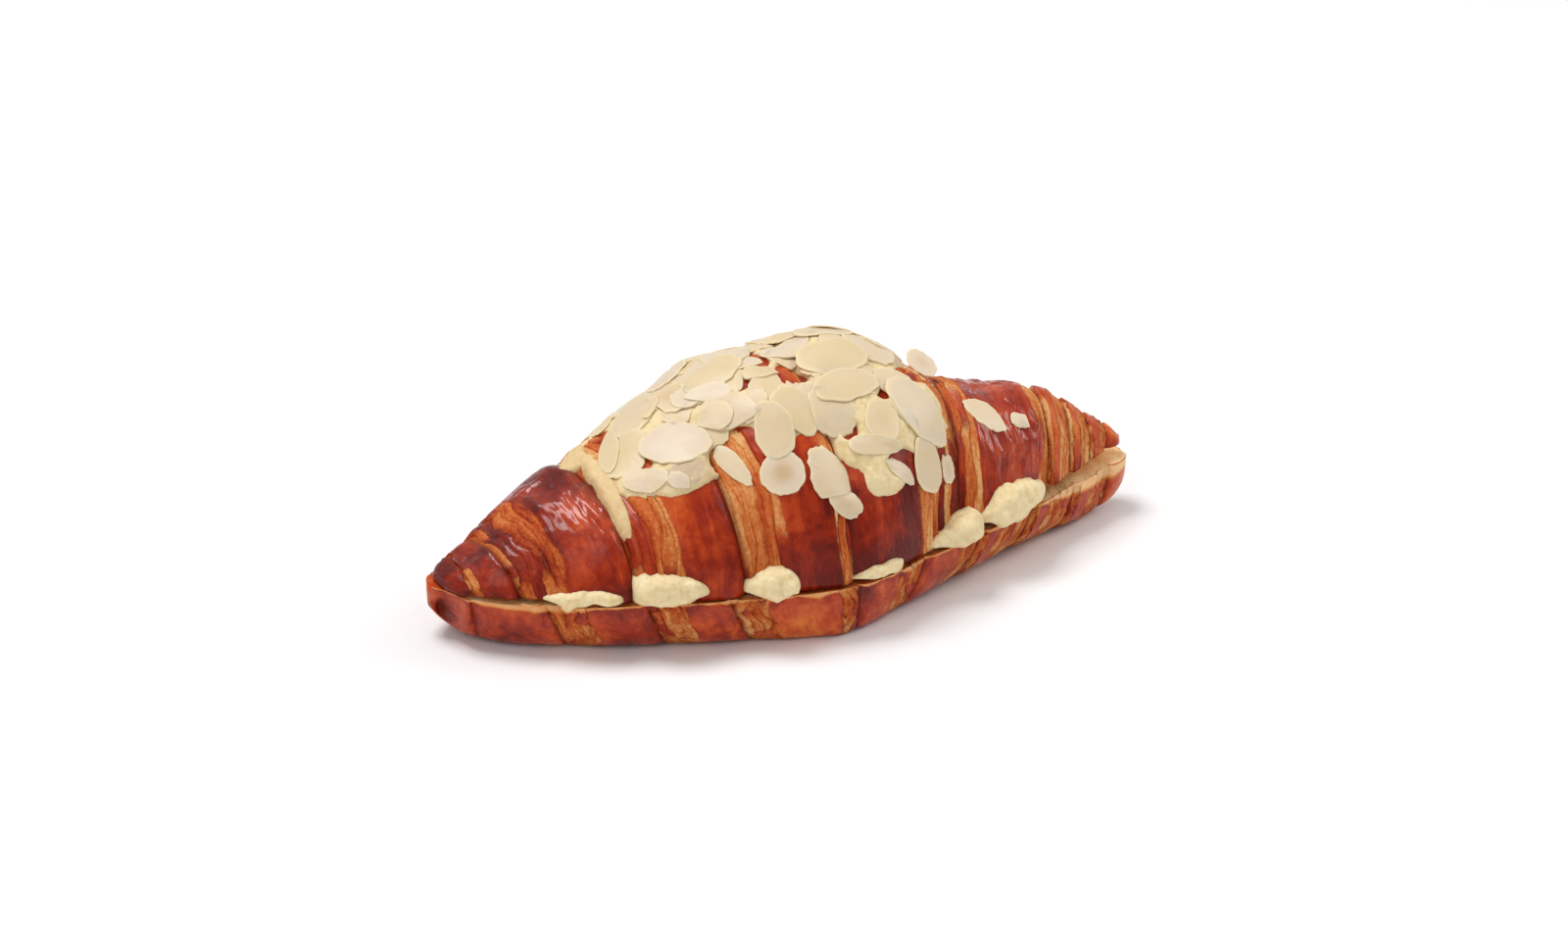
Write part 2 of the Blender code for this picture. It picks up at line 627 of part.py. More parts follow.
def scattered_almonds(rng):
    """Further slices at seeded places on the cream, kept apart from each other."""
    found = []
    places = []
    while len(found) < SCATTERED_ALMONDS:
        x, turn = rng.uniform(*SCATTER_X), rng.uniform(*SCATTER_TURN)
        here = lid_spot(x, turn)[0]
        apart = all((here - other).length > SCATTER_APART for other in places)
        if apart and cream_share(x, turn) < SCATTER_SHARE:
            size = rng.uniform(*SCATTER_SIZES)
            length, width = SCATTER_LENGTH * size, SCATTER_WIDTH * size * rng.uniform(0.8, 1.1)
            found.append((x, math.degrees(turn), length, width, rng.uniform(0, 180), SCATTER_TAPER))
            places.append(here)
    return found


# Materials


def material(name, colour, roughness):
    made = bpy.data.materials.new(name)
    made.use_nodes = True
    shader = made.node_tree.nodes["Principled BSDF"]
    shader.inputs["Base Color"].default_value = (*colour, 1)
    shader.inputs["Roughness"].default_value = roughness
    shader.inputs["Metallic"].default_value = 0
    return made


def finish(obj, made):
    obj.data.materials.clear()
    obj.data.materials.append(made)
    obj.data.shade_smooth()
    obj.data.set_sharp_from_angle(angle=math.radians(35))


# The croissant


def build_halves(parts):
    tips = [(side * LID_HALF, 0, float(lid_edge(LID_HALF)) + LID_TIP / 2) for side in (-1, 1)]
    lid = add_object("croissant_lid", loft("croissant_lid", lid_rings(LID_TURNS, ACROSS), *tips), parts)
    tips = [(side * HALF, 0, CUT * 0.7) for side in (-1, 1)]
    skin = loft("croissant_lower_half", lower_rings(LOWER_DOWNS, ACROSS), *tips)
    lower = add_object("croissant_lower_half", skin, parts)
    return lid, lower


def build_filling(parts, helpers, cutters, halves):
    rings = slab_rings(SLAB_STATIONS, SLAB_SIDES)
    tips = [(side * (SLAB_HALF_LENGTH + SLAB_TIP), 0, float(lid_edge(SLAB_HALF_LENGTH))) for side in (-1, 1)]
    filling = add_object("almond_cream_filling", loft("almond_cream_filling", rings, *tips), parts)
    for number, shape in enumerate(SQUEEZED):
        name = f"squeezed_{number}"
        add_object(name, squeezed_mesh(name, *shape, grow=0), helpers)
        add_object(name + "_room", squeezed_mesh(name + "_room", *shape, grow=CLEARANCE), cutters)
    boolean(filling, helpers, "UNION")
    for half in halves:
        boolean(half, cutters, "DIFFERENCE")
    empty_collection(helpers)
    empty_collection(cutters)
    return filling


def build_topping(parts, helpers, cutters, lid):
    rng = np.random.default_rng(SEED)
    topping = add_object("almond_topping", cream_mesh("almond_topping"), parts)
    beds = [(tree_of(lid), CLEARANCE), (tree_of(topping), -ALMOND_SINK)]
    slices = list(PLACED_ALMONDS) + scattered_almonds(rng)
    slices.sort(key=lambda entry: -entry[2])
    for number, (x, turn, length, width, heading, taper) in enumerate(slices):
        tilt = tuple(rng.uniform(-ALMOND_TILT, ALMOND_TILT, 2).tolist())
        place = (x, math.radians(turn), length, width, math.radians(heading), taper)
        placed = lay_almond(f"slice_{number}", helpers, beds, *place, tilt)
        beds.append((tree_of(placed), -ALMOND_SINK))
    boolean(topping, helpers, "UNION")
    empty_collection(helpers)
    tips = [(side * (LID_HALF + CLEARANCE), 0, float(lid_edge(LID_HALF)) + LID_TIP / 2) for side in (-1, 1)]
    add_object("lid_room", loft("lid_room", lid_rings(LID_TURNS, ACROSS, CLEARANCE), *tips), cutters)
    boolean(topping, cutters, "DIFFERENCE")
    empty_collection(cutters)
    return topping


def add_loose_almonds(lid, helpers):
    beds = [(tree_of(lid), -ALMOND_SINK)]
    for number, (x, turn, length, width, heading, taper) in enumerate(LOOSE_ALMONDS):
        name = f"loose_{number}"
        place = (x, math.radians(turn), length, width, math.radians(heading), taper)
        lay_almond(name, helpers, beds, *place, (0, 0))
    boolean(lid, helpers, "UNION")
    empty_collection(helpers)


def main():
    for old in list(bpy.data.objects):
        bpy.data.objects.remove(old)
    parts, helpers, cutters = (bpy.data.collections.new(name) for name in (NAME, "helpers", "cutters"))
    for collection in (parts, helpers, cutters):
        bpy.context.scene.collection.children.link(collection)

    lid, lower = build_halves(parts)
    topping = build_topping(parts, helpers, cutters, lid)
    filling = build_filling(parts, helpers, cutters, (lid, lower))
    add_loose_almonds(lid, helpers)

    looks = (
        (lid, "lid_crust", (0.30, 0.06, 0.015), 0.30),
        (lower, "lower_crust", (0.32, 0.09, 0.025), 0.40),
        (filling, "almond_cream", (0.80, 0.62, 0.36), 0.55),
        (topping, "almonds_in_cream", (0.78, 0.66, 0.45), 0.60),
    )
    for obj, name, colour, roughness in looks:
        keep_largest_shell(obj)
        finish(obj, material(name, colour, roughness))


if __name__ == "__main__":
    main()
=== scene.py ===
"""Almond croissant: the baked crust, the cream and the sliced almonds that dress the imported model, on
a plain stage.

Lengths are in metres, and angles in radians unless a name says degrees. X runs along the croissant
from its left tip to its right tip, Y away from its front side and Z up.

A point of the crust is found from two numbers. The roll position v counts the wraps of rolled dough
from the left tip, so a whole number is the seam between two wraps. The turn is the angle round the
roll, 0 at the front edge of the level cut, a quarter turn at the crest and a half turn at the back
edge of the cut.

A place on the crust is a row that starts with x, turn in degrees, reach along x and reach in degrees.
"""

import itertools
import math

import bpy
import numpy as np
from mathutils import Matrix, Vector
from mathutils.bvhtree import BVHTree


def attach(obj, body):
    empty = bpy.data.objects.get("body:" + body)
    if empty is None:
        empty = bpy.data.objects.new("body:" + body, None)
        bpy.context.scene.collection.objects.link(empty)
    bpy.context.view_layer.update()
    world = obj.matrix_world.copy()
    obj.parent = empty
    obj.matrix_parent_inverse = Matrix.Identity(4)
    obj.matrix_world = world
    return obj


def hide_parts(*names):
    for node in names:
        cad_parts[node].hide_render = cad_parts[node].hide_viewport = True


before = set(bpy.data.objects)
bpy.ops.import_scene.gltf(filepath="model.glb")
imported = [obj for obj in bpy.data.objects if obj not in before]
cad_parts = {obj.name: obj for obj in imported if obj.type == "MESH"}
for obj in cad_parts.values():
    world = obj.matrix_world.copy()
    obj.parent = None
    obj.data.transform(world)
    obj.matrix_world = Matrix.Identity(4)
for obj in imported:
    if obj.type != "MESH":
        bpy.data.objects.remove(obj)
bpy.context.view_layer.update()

bl_info = {
    "name": "Almond croissant",
    "version": (1, 0, 0),
    "blender": (4, 5, 0),
    "location": "View3D > Sidebar > Croissant",
    "description": "Bakes an almond croissant in two halves, fills and tops it, and sets a plain stage",
    "category": "Add Mesh",
}

QUARTER = math.pi / 2

# The whole roll
HALF = 0.080
LID_HALF = 0.0787
CUT = 0.012  # height of the level cut

# Half widths of the cut, as width * (1 - t ** bend) ** end, with t from 0 in the middle to 1 at a tip
LOWER_FRONT_LEFT = (0.0365, 1.4, 0.55)
LOWER_FRONT_RIGHT = (0.0365, 1.1, 0.85)
LID_FRONT_LEFT = (0.0352, 1.4, 0.55)
LID_FRONT_RIGHT = (0.0352, 1.1, 0.97)
LOWER_BACK = (0.0358, 1.25, 0.97)
LID_BACK = (0.0352, 1.25, 1.0)
LOWER_TIP = 0.0062  # rounding of the lower half's blunt tips
LID_TIP = 0.0030
TIP_WIDTH = 0.9  # least half width beside a tip, as a share of its rounding
TIP_FADE = 0.020  # reach of a tip over which the cut faces turn flat

# Lid: how far its edge stands over the lower half, and the height of its crest over that edge along X
LID_GAPS = (
    (-0.0787, 0.0004),
    (-0.0690, 0.0009),
    (-0.0500, 0.0006),
    (-0.0250, 0.0004),
    (0.0000, 0.0004),
    (0.0300, 0.0006),
    (0.0550, 0.0014),
    (0.0700, 0.0025),
    (0.0787, 0.0028),
)
CREST = (
    (-0.0780, 0.0020),
    (-0.0700, 0.0070),
    (-0.0600, 0.0132),
    (-0.0500, 0.0178),
    (-0.0400, 0.0212),
    (-0.0200, 0.0312),
    (-0.0090, 0.0344),
    (0.0090, 0.0334),
    (0.0200, 0.0304),
    (0.0275, 0.0282),
    (0.0340, 0.0239),
    (0.0460, 0.0186),
    (0.0560, 0.0168),
    (0.0640, 0.0124),
    (0.0710, 0.0072),
    (0.0780, 0.0026),
)
CREST_POWER = 0.95
LID_VAULT = 0.0036
LOWER_DISH = 0.0012
DISH_POWER = 4

# Lower half: how far the wall curves in below the edge of the cut, and how the tips rise off the surface
TUCK_LEFT = 0.0085
TUCK_CORNER = 0.0032
TUCK_RIGHT = 0.0125
TUCK_BACK = 0.0100
MOST_TUCK = 0.62
CORNER_X = -0.0030
KEEL = 0.0140
KEEL_RISE = 0.84
LEAN = 2.0  # how much faster the seams lean down the front wall than over the lid

# Wraps of dough: each seam as (x at the front edge of the cut, x at the crest). Then for each wrap its
# bands, which are the shares of it, at its left and right end, where the dough's cut edge shows its
# layers, and its bake, from 0 pale to 1 dark
LID_SEAMS = (
    (-LID_HALF, -LID_HALF),
    (-0.0738, -0.0750),
    (-0.0655, -0.0700),
    (-0.0440, -0.0468),
    (-0.0222, -0.0258),
    (0.0000, 0.0010),
    (0.0295, 0.0345),
    (0.0560, 0.0585),
    (0.0625, 0.0648),
    (0.0688, 0.0702),
    (0.0742, 0.0748),
    (LID_HALF, LID_HALF),
)
LID_BANDS = (
    (0.00, 0.16),
    (0.20, 0.00),
    (0.46, 0.00),
    (0.48, 0.00),
    (0.42, 0.16),
    (0.00, 0.44),
    (0.24, 0.16),
    (0.15, 0.65),
    (0.15, 0.65),
    (0.15, 0.50),
    (0.00, 0.00),
)
LID_BAKE = (0.68, 0.65, 0.60, 0.50, 0.57, 0.59, 0.53, 0.38, 0.36, 0.38, 0.48)
LOWER_SEAMS = (
    (-HALF, -HALF),
    (-0.0748, -0.0765),
    (-0.0615, -0.0650),
    (-0.0425, -0.0460),
    (-0.0262, -0.0300),
    (0.0005, 0.0000),
    (0.0186, 0.0215),
    (0.0345, 0.0385),
    (0.0500, 0.0535),
    (0.0630, 0.0655),
    (0.0740, 0.0750),
    (HALF, HALF),
)
LOWER_BANDS = (
    (0.00, 0.00),
    (0.00, 0.00),
    (0.40, 0.00),
    (0.45, 0.00),
    (0.30, 0.18),
    (0.00, 0.45),
    (0.00, 0.40),
    (0.20, 0.70),
    (0.20, 0.70),
    (0.20, 0.60),
    (0.00, 0.00),
)
LOWER_BAKE = (0.48, 0.49, 0.50, 0.45, 0.42, 0.48, 0.53, 0.40, 0.36, 0.36, 0.46)

# Ridges of the roll
LID_RIDGE = 0.0016
LOWER_RIDGE = 0.00095
LID_FADE = 0.024  # reach of a tip over which the ridges turn lower
LOWER_FADE = 0.010
LEAST_RIDGE = 0.30  # height left of them at the lid's very tips, as a share
CROWN = 0.25  # how round a wrap is from seam to seam, as a share of the ridge
SHOULDER = 0.17  # width of a wrap's round shoulder, as a share of the wrap
SEAM = 0.02  # width of a seam's own cleft
SEAM_DEPTH = 0.45  # depth of a seam below the smooth form, as a share of the ridge
BAND_FOOT = 0.12  # height at which a band starts, as a share of the ridge
# Slow bumps of the roll: share, waves along x, waves round the roll, phase
BUMPS = ((0.3, 55, 4.7, 0.7), (0.3, 135, -0.5, 0.7), (0.4, 210, -3.4, 0.0))
LID_BUMPS = 0.50
LOWER_BUMPS = 0.30

# Crust detail: layers in the bands, and wrinkles and blisters on the glossy wraps
LAYER_PITCH = 0.0020  # width of one layer of dough in a band
LAYER_STEP = 0.00052
CREVICE = 0.00028
LAYER_FINE = 0.00025
SHEETS = 3.3  # thin sheets in a layer
BLISTER, BLISTER_SIZE = 0.00030, 0.0045
DENT, DENT_SIZE = 0.0009, 0.011  # broad dents and swellings
FOLD_PITCH = 0.0030  # spacing of wrinkles
# Wrinkled places of the lid, each with its depth
WRINKLED = (
    (-0.0705, 62, 0.0060, 30, 0.00030),
    (-0.0490, 62, 0.0080, 22, 0.00070),
    (-0.0585, 86, 0.0055, 18, 0.00055),
    (0.0452, 45, 0.0080, 22, 0.00065),
    (0.0430, 84, 0.0110, 18, 0.00042),
    (0.0060, 38, 0.0040, 10, 0.00022),
    (-0.0280, 120, 0.0100, 30, 0.00030),
    (0.0450, 120, 0.0120, 30, 0.00040),
)
LOW_SHINE, CREST_SHINE, LOWER_SHINE = 0.06, 0.30, 0.30  # how much of the gloss shows
SHINE_SPREAD = 1.4  # how much further than the wrinkles their gloss reaches
LID_PALER, LEFT_DARKER = 0.06, 0.30  # tone of the lid's layers, and of those near its left tip

# How far down the lower half's wall the crumb of the cut shows, along X
CRUMB_RIM = (
    (-0.0765, 0.0000),
    (-0.0720, 0.0010),
    (-0.0600, 0.0014),
    (-0.0500, 0.0003),
    (-0.0290, 0.0003),
    (-0.0260, 0.0009),
    (-0.0225, 0.0003),
    (-0.0120, 0.0003),
    (-0.0080, 0.0012),
    (-0.0040, 0.0003),
    (0.0110, 0.0003),
    (0.0145, 0.0014),
    (0.0200, 0.0004),
    (0.0500, 0.0006),
    (0.0560, 0.0010),
    (0.0620, 0.0024),
    (0.0740, 0.0030),
    (0.0800, 0.0012),
)
# Rolled end of the dough on the left tip: x, reach along x and height of its lip, then of its hollow
SPIRAL_LIP = (-0.0752, 0.0008, 0.0013)
SPIRAL_HOLLOW = (-0.0778, 0.0012, 0.0026)

# Grids
BAND_COLUMN = 0.00014  # spacing of columns in a band, and elsewhere
WRAP_COLUMN = 0.00026
LID_ROWS = 100
LOWER_FRONT_ROWS, LOWER_BACK_ROWS = 36, 26
FACE_SHARES = (0.004, 0.02, 0.05, 0.10, 0.18, 0.30, 0.50, 0.70, 0.82, 0.90, 0.95, 0.98, 0.996)

# Filling
SLAB_INSET = 0.0060
SLAB_GAP = 0.0008
SLAB_HALF_LENGTH = 0.064
SLAB_TIP = 0.001
SLAB_EDGE = 0.6
SQUEEZE_DEPTH = 0.0048  # half depth of a squeeze-out, most of it inside the cut
SQUARISH = 2.6  # power of its section, where 2 is an oval and more is squarer
# Each squeeze-out: side (-1 front, 1 back), first x, last x, half height, height of its middle over the
# cut, how far it stands out past the edge, where along it it is thickest, from 0 to 1, how pointed its
# two ends are, from 0.2 blunt to 1.5 pointed, and how far it drips down the crust
SQUEEZED = (
    (-1, -0.0622, -0.0460, 0.0019, 0.0019, 0.0024, 0.55, 0.40, 0.50, 0.0026),
    (-1, -0.0452, -0.0282, 0.0034, 0.0032, 0.0032, 0.36, 0.22, 0.75, 0.0),
    (-1, -0.0232, -0.0120, 0.0033, 0.0028, 0.0036, 0.55, 0.40, 0.30, 0.0),
    (-1, -0.0015, 0.0126, 0.0021, 0.0020, 0.0026, 0.66, 0.70, 0.35, 0.0),
    (-1, 0.0140, 0.0345, 0.0036, 0.0026, 0.0040, 0.78, 0.85, 0.40, 0.0),
    (-1, 0.0333, 0.0542, 0.0039, 0.0034, 0.0040, 0.55, 0.75, 0.45, 0.0),
    (1, -0.0560, -0.0410, 0.0024, 0.0020, 0.0028, 0.40, 0.60, 0.40, 0.0012),
    (1, -0.0340, -0.0200, 0.0030, 0.0026, 0.0034, 0.50, 0.35, 0.70, 0.0),
    (1, -0.0110, 0.0080, 0.0026, 0.0022, 0.0036, 0.60, 0.90, 0.40, 0.0),
    (1, 0.0170, 0.0290, 0.0032, 0.0028, 0.0034, 0.45, 0.40, 0.50, 0.0),
    (1, 0.0350, 0.0500, 0.0024, 0.0022, 0.0028, 0.50, 0.50, 0.80, 0.0),
)

# Cream on top, as overlapping places, each with its thickness
CREAM_PATCHES = (
    (-0.0055, 98, 0.0360, 46, 0.0010),
    (-0.0438, 97, 0.0058, 7, 0.0007),
    (-0.0425, 108, 0.0060, 9, 0.0009),
    (-0.0443, 67, 0.0019, 35, 0.0013),
    (-0.0330, 66, 0.0110, 15, 0.0014),
    (-0.0290, 55, 0.0085, 9, 0.0017),
    (-0.0080, 68, 0.0160, 15, 0.0016),
    (0.0110, 50, 0.0100, 20, 0.0016),
    (0.0100, 33, 0.0055, 8, 0.0016),
    (0.0230, 62, 0.0080, 24, 0.0014),
    (0.0270, 92, 0.0070, 14, 0.0010),
    (0.0170, 98, 0.0100, 16, 0.0026),
)
# Bare places in the cream
BARE_PATCHES = (
    (-0.0400, 101, 0.0030, 12),
    (-0.0062, 93, 0.0026, 8),
    (-0.0067, 113, 0.0040, 6),
    (-0.0017, 78, 0.0036, 7),
    (-0.0132, 79, 0.0024, 3),
    (-0.0190, 55, 0.0052, 9),
    (-0.0031, 62, 0.0020, 3),
    (0.0049, 51, 0.0020, 4),
    (0.0159, 64, 0.0018, 3),
    (-0.0023, 49, 0.0020, 3),
    (-0.0375, 68, 0.0026, 5),
    (0.0155, 35, 0.0042, 5),
    (0.0262, 78, 0.0030, 6),
    (0.0300, 92, 0.0030, 9),
)
# Sugary places in the cream, each with its strength
GLAZED_PATCHES = (
    (-0.0305, 54, 0.0065, 8, 1.3),
    (0.0275, 88, 0.0065, 13, 1.0),
    (0.0120, 35, 0.0050, 6, 0.7),
)
PATCH_POWER = 2.4  # how square a patch of cream is
CREAM_ENDS = (-0.0545, 0.0350)
CREAM_TURNS = (22, 150)  # in degrees
CREAM_ACROSS, CREAM_AROUND = 300, 210
CREAM_FLOOR = -0.0045  # how deep its hidden underside lies inside the lid

# Stage
FLOOR = 3.0  # half side
TARGET_HEIGHT = 0.0235  # height of the point that the camera and the lights aim at
SENSOR_WIDTH = 36.0  # in millimetres, as the lens
# Each light: name, place, size and share of the key light's power
LIGHTS = (
    ("overhead", (-0.26, 0.25, 1.00), 0.50, 1.0),
    ("right", (1.05, -0.12, 0.68), 0.55, 0.60),
    ("left", (-0.90, -0.70, 0.80), 0.80, 0.45),
)


# Random values


LATTICE_CODES = (374761393, 668265263, 1103515245)  # large odd numbers, one for each axis


def noise(points, seed):
    """Smooth random values from 0 to 1: repeatable random numbers on a whole-number lattice, blended
    between the corners of each cell by a smooth step."""
    points = np.asarray(points, float)
    cell = np.floor(points).astype(np.int64)
    part = points - cell
    part = part * part * (3 - 2 * part)
    total = 0.0
    for corner in itertools.product((0, 1), repeat=points.shape[-1]):
        code = np.full(points.shape[:-1], seed * 974634777, np.int64)
        weight = 1.0
        for axis, side in enumerate(corner):
            code = code + (cell[..., axis] + side) * LATTICE_CODES[axis]
            weight = weight * (part[..., axis] if side else 1 - part[..., axis])
        for shift in (13, 15):
            code = ((code ^ (code >> shift)) * 1274126177) & 0x7FFFFFFF
        total = total + weight * ((code >> 7) & 0xFFFF) / 0xFFFF
    return total


def fractal(points, seed, octaves=4):
    """Sum of noises, each twice as fine and half as strong as the one before, scaled to 0 to 1."""
    points = np.asarray(points, float)
    total = sum(noise(points * 2**k, seed + k) / 2**k for k in range(octaves))
    return total / (2 - 2 ** (1 - octaves))


def pair(first, second):
    """Points of a plane from two coordinates."""
    return np.stack(np.broadcast_arrays(first, second), -1)


def soft_step(value, low, high):
    """0 below low, 1 above high, smooth between."""
    t = np.clip((value - low) / (high - low), 0, 1)
    return t * t * (3 - 2 * t)


# Form of the roll


def smooth(x, points):
    """Smooth curve through (x, value) points at x, without overshoot and level past both ends."""
    at, value = np.array(points, float).T
    step = np.diff(at)
    slope = np.diff(value) / step
    same_way = slope[1:] * slope[:-1] > 0
    total = np.where(same_way, slope[1:] + slope[:-1], 1)
    inner = np.where(same_way, 2 * slope[1:] * slope[:-1] / total, 0)
    lean = np.concatenate([slope[:1], inner, slope[-1:]])
    k = np.clip(np.searchsorted(at, x) - 1, 0, len(step) - 1)
    t = np.clip((x - at[k]) / step[k], 0, 1)
    bend = (t * (t - 1) ** 2 * lean[k] + t * t * (t - 1) * lean[k + 1]) * step[k]
    return value[k] * (1 + 2 * t) * (1 - t) ** 2 + value[k + 1] * t * t * (3 - 2 * t) + bend


def outline(x, rule):
    """Half width at x from a (width, bend, end) rule."""
    width, bend, end = rule
    return width * (1 - np.clip(np.abs(x) / HALF, 0, 1) ** bend) ** end


def tip_rounding(x, half, reach):
    """1 along the roll, falling as a quarter circle to 0 over the last reach of each tip."""
    into = np.clip((np.abs(x) - (half - reach)) / reach, 0, 1)
    return np.sqrt(1 - into * into)


def cut_width(x, front, rules, half, tip):
    """Half width of a half of the roll at the cut, from its (front left, front right, back) rules."""
    left, right, back = (outline(x, rule) for rule in rules)
    width = np.where(front, np.where(x < 0, left, right), back)
    return np.maximum(width, tip * TIP_WIDTH) * tip_rounding(x, half, tip)


def lid_width(x, front):
    return cut_width(x, front, (LID_FRONT_LEFT, LID_FRONT_RIGHT, LID_BACK), LID_HALF, LID_TIP)


def lower_width(x, front):
    return cut_width(x, front, (LOWER_FRONT_LEFT, LOWER_FRONT_RIGHT, LOWER_BACK), HALF, LOWER_TIP)


def reaches(x, turn, place):
    """How far (x, turn) is from the middle of a place, in its reach along x and in degrees."""
    at, at_turn, reach, reach_turn = place[:4]
    return (x - at) / reach, (np.degrees(turn) - at_turn) / reach_turn


def spread(x, turn, place):
    """1 in the middle of a place, falling as a bell curve around it."""
    along, around = reaches(x, turn, place)
    return np.exp(-(along**2) - around**2)


def lid_edge(x):
    """Height of the lid's lower edge, which lifts towards the tips."""
    return CUT + smooth(x, LID_GAPS)


def unevenness(x, turn):
    """Sum of slow bumps, from -1 to 1."""
    return sum(share * np.sin(along * x + around * turn + phase) for share, along, around, phase in BUMPS)


def flat_tips(x):
    """0 at a tip, rising to 1 along the roll."""
    return np.clip((HALF - np.abs(x)) / TIP_FADE, 0, 1)


def roll_x(v, turn, seams):
    """X of roll position v at a turn: a seam leans from its front x to its crest x and on at the same
    rate, and points between two seams keep their share of the way."""
    front, crest = np.array(seams).T
    wrap = np.clip(np.floor(v).astype(int), 0, len(front) - 2)
    start = front[wrap] + (crest - front)[wrap] * turn / QUARTER
    end = front[wrap + 1] + (crest - front)[wrap + 1] * turn / QUARTER
    return start + (v - wrap) * (end - start)


def roll_v(x, turn, seams):
    """Roll position at x and turn: the inverse of roll_x."""
    front, crest = np.array(seams).T
    x, turn = np.broadcast_arrays(x, turn)
    edges = front + (crest - front) * turn[..., None] / QUARTER
    wrap = np.clip((x[..., None] >= edges).sum(-1) - 1, 0, len(front) - 2)
    start = np.take_along_axis(edges, wrap[..., None], -1)[..., 0]
    end = np.take_along_axis(edges, wrap[..., None] + 1, -1)[..., 0]
    return wrap + (x - start) / (end - start)


def rise(share, band):
    """0 in a seam to 1 on the wrap: a round shoulder, or the longer slope of a band."""
    shoulder = 1 - (1 - np.clip(share / SHOULDER, 0, 1)) ** 2
    along = np.clip(share / np.maximum(band, 1e-6), 0, 1)
    slope = BAND_FOOT + (1 - 2.5 * BAND_FOOT) * along + 1.5 * BAND_FOOT * shoulder
    return np.where(band > 0, slope, shoulder) * np.clip(share / SEAM, 0, 1)


def relief(v, bands):
    """Height of the crust over its smooth form, from below 0 in a seam to about 1 on the crown of a
    wrap: a shoulder at both ends of the wrap, multiplied, and a half sine from seam to seam."""
    left, right = np.array(bands, float).T
    wrap = np.clip(np.floor(v).astype(int), 0, len(left) - 1)
    share = v - wrap
    on_wrap = rise(share, left[wrap]) * rise(1 - share, right[wrap])
    return -SEAM_DEPTH + (1 + SEAM_DEPTH - CROWN) * on_wrap + CROWN * np.sin(math.pi * share)


def columns(seams, bands):
    """Roll positions of the grid's columns, which are closer together in the bands."""
    front = np.array(seams)[:, 0]
    found = []
    for wrap, (left, right) in enumerate(bands):
        width = front[wrap + 1] - front[wrap]
        for first, last, spacing in (
            (0.0, left, BAND_COLUMN),
            (left, 1 - right, WRAP_COLUMN),
            (1 - right, 1.0, BAND_COLUMN),
        ):
            count = int(round((last - first) * width / spacing))
            found.append(wrap + first + (last - first) * np.arange(count) / max(count, 1))
    return np.concatenate(found)[1:]


def layers(v, turn, seams, bands, seed):
    """Cut edges of the dough in the bands. A band is divided into layers whose borders wander with
    noise. Each layer is a stair with a crevice at the bottom of its step, and holds thin sheets with
    fainter crevices between them. Returns the height over the band's slope in metres, the tone of the
    layer from 0 dark to 1 pale, lowered beside the crevices as painted shade, how deep in a crevice a
    point is, which the crust's colour darkens as painted shade, and 1 in a band, 0 outside. The number
    of a band or layer shifts its noise, so that each is different."""
    left, right = np.array(bands, float).T
    wrap = np.clip(np.floor(v).astype(int), 0, len(left) - 1)
    width = np.diff(np.array(seams)[:, 0])[wrap]
    left, right = left[wrap], right[wrap]
    ragged = 0.05 * (noise(pair(7.1 * wrap, 3.5 * turn), seed + 5) - 0.5)
    from_left, from_right = v - wrap + ragged, 1 - (v - wrap) + ragged
    on_left = (left > 0) & (from_left < left)
    on_right = (right > 0) & (from_right < right)
    place = np.where(on_left, from_left / np.maximum(left, 1e-6), 2.0)
    place = np.where(on_right, from_right / np.maximum(right, 1e-6), place)
    number = 2 * wrap + on_right
    inside = np.where(place <= 1, 1 - soft_step(place, 0.80, 1.0), 0.0)

    along = place * width * np.where(on_right, right, left) / LAYER_PITCH
    wander = fractal(pair(along * 0.35 + 17.3 * number, 1.5 * turn), seed, 3) - 0.5
    jagged = fractal(pair(along * 1.5 + 9.1 * number, 9.0 * turn), seed + 1, 3) - 0.5
    phase = along + 2.1 * wander + 0.34 * jagged
    layer = np.floor(phase)
    part = phase - layer
    strength = noise(pair(3.7 * layer + 11.1 * number, 2.6 * turn), seed + 3)
    lip = soft_step(part, 0.0, 0.20) - 0.8 * part - 0.3
    crevice = np.exp(-((np.minimum(part, (1 - part) * 2) / 0.07) ** 2)) * soft_step(strength, 0.1, 0.6)
    fine = fractal(pair(4.0 * phase + 5.0 * number, 3.0 * turn), seed + 4, 3) - 0.5

    sheet = phase * SHEETS + 1.2 * (fractal(pair(phase * 1.1, 2.2 * turn), seed + 2, 3) - 0.5)
    parting = noise(pair(2.3 * np.floor(sheet) + 3.1 * number, 2.0 * turn), seed + 9)
    thin = np.exp(-(((sheet - np.floor(sheet)) / 0.22) ** 2)) * soft_step(parting, 0.3, 0.7)
    height = LAYER_STEP * lip * (0.4 + 1.2 * strength) - CREVICE * (crevice + 0.45 * thin)
    height = height + LAYER_FINE * fine

    own = noise(pair(5.3 * layer + 2.9 * number, 2.0 * turn), seed + 6)
    # Tone drops beside each crevice and at the partings between sheets: painted shade.
    tone = np.clip(0.21 + 0.8 * own + 0.5 * fine - 0.15 * np.exp(-part / 0.12) - 0.25 * thin, 0, 1)
    bare = noise(pair(4.1 * layer + 7.7 * number, 1.8 * turn), seed + 8)
    dull = inside * soft_step(bare, 0.20, 0.48)
    return height * inside, tone, np.maximum(crevice, 0.5 * thin) * inside, dull


def blisters(points, seed):
    return BLISTER * (fractal(points / BLISTER_SIZE, seed, 3) - 0.5)


def dents(points, seed):
    return DENT * (fractal(points / DENT_SIZE, seed, 3) - 0.5)


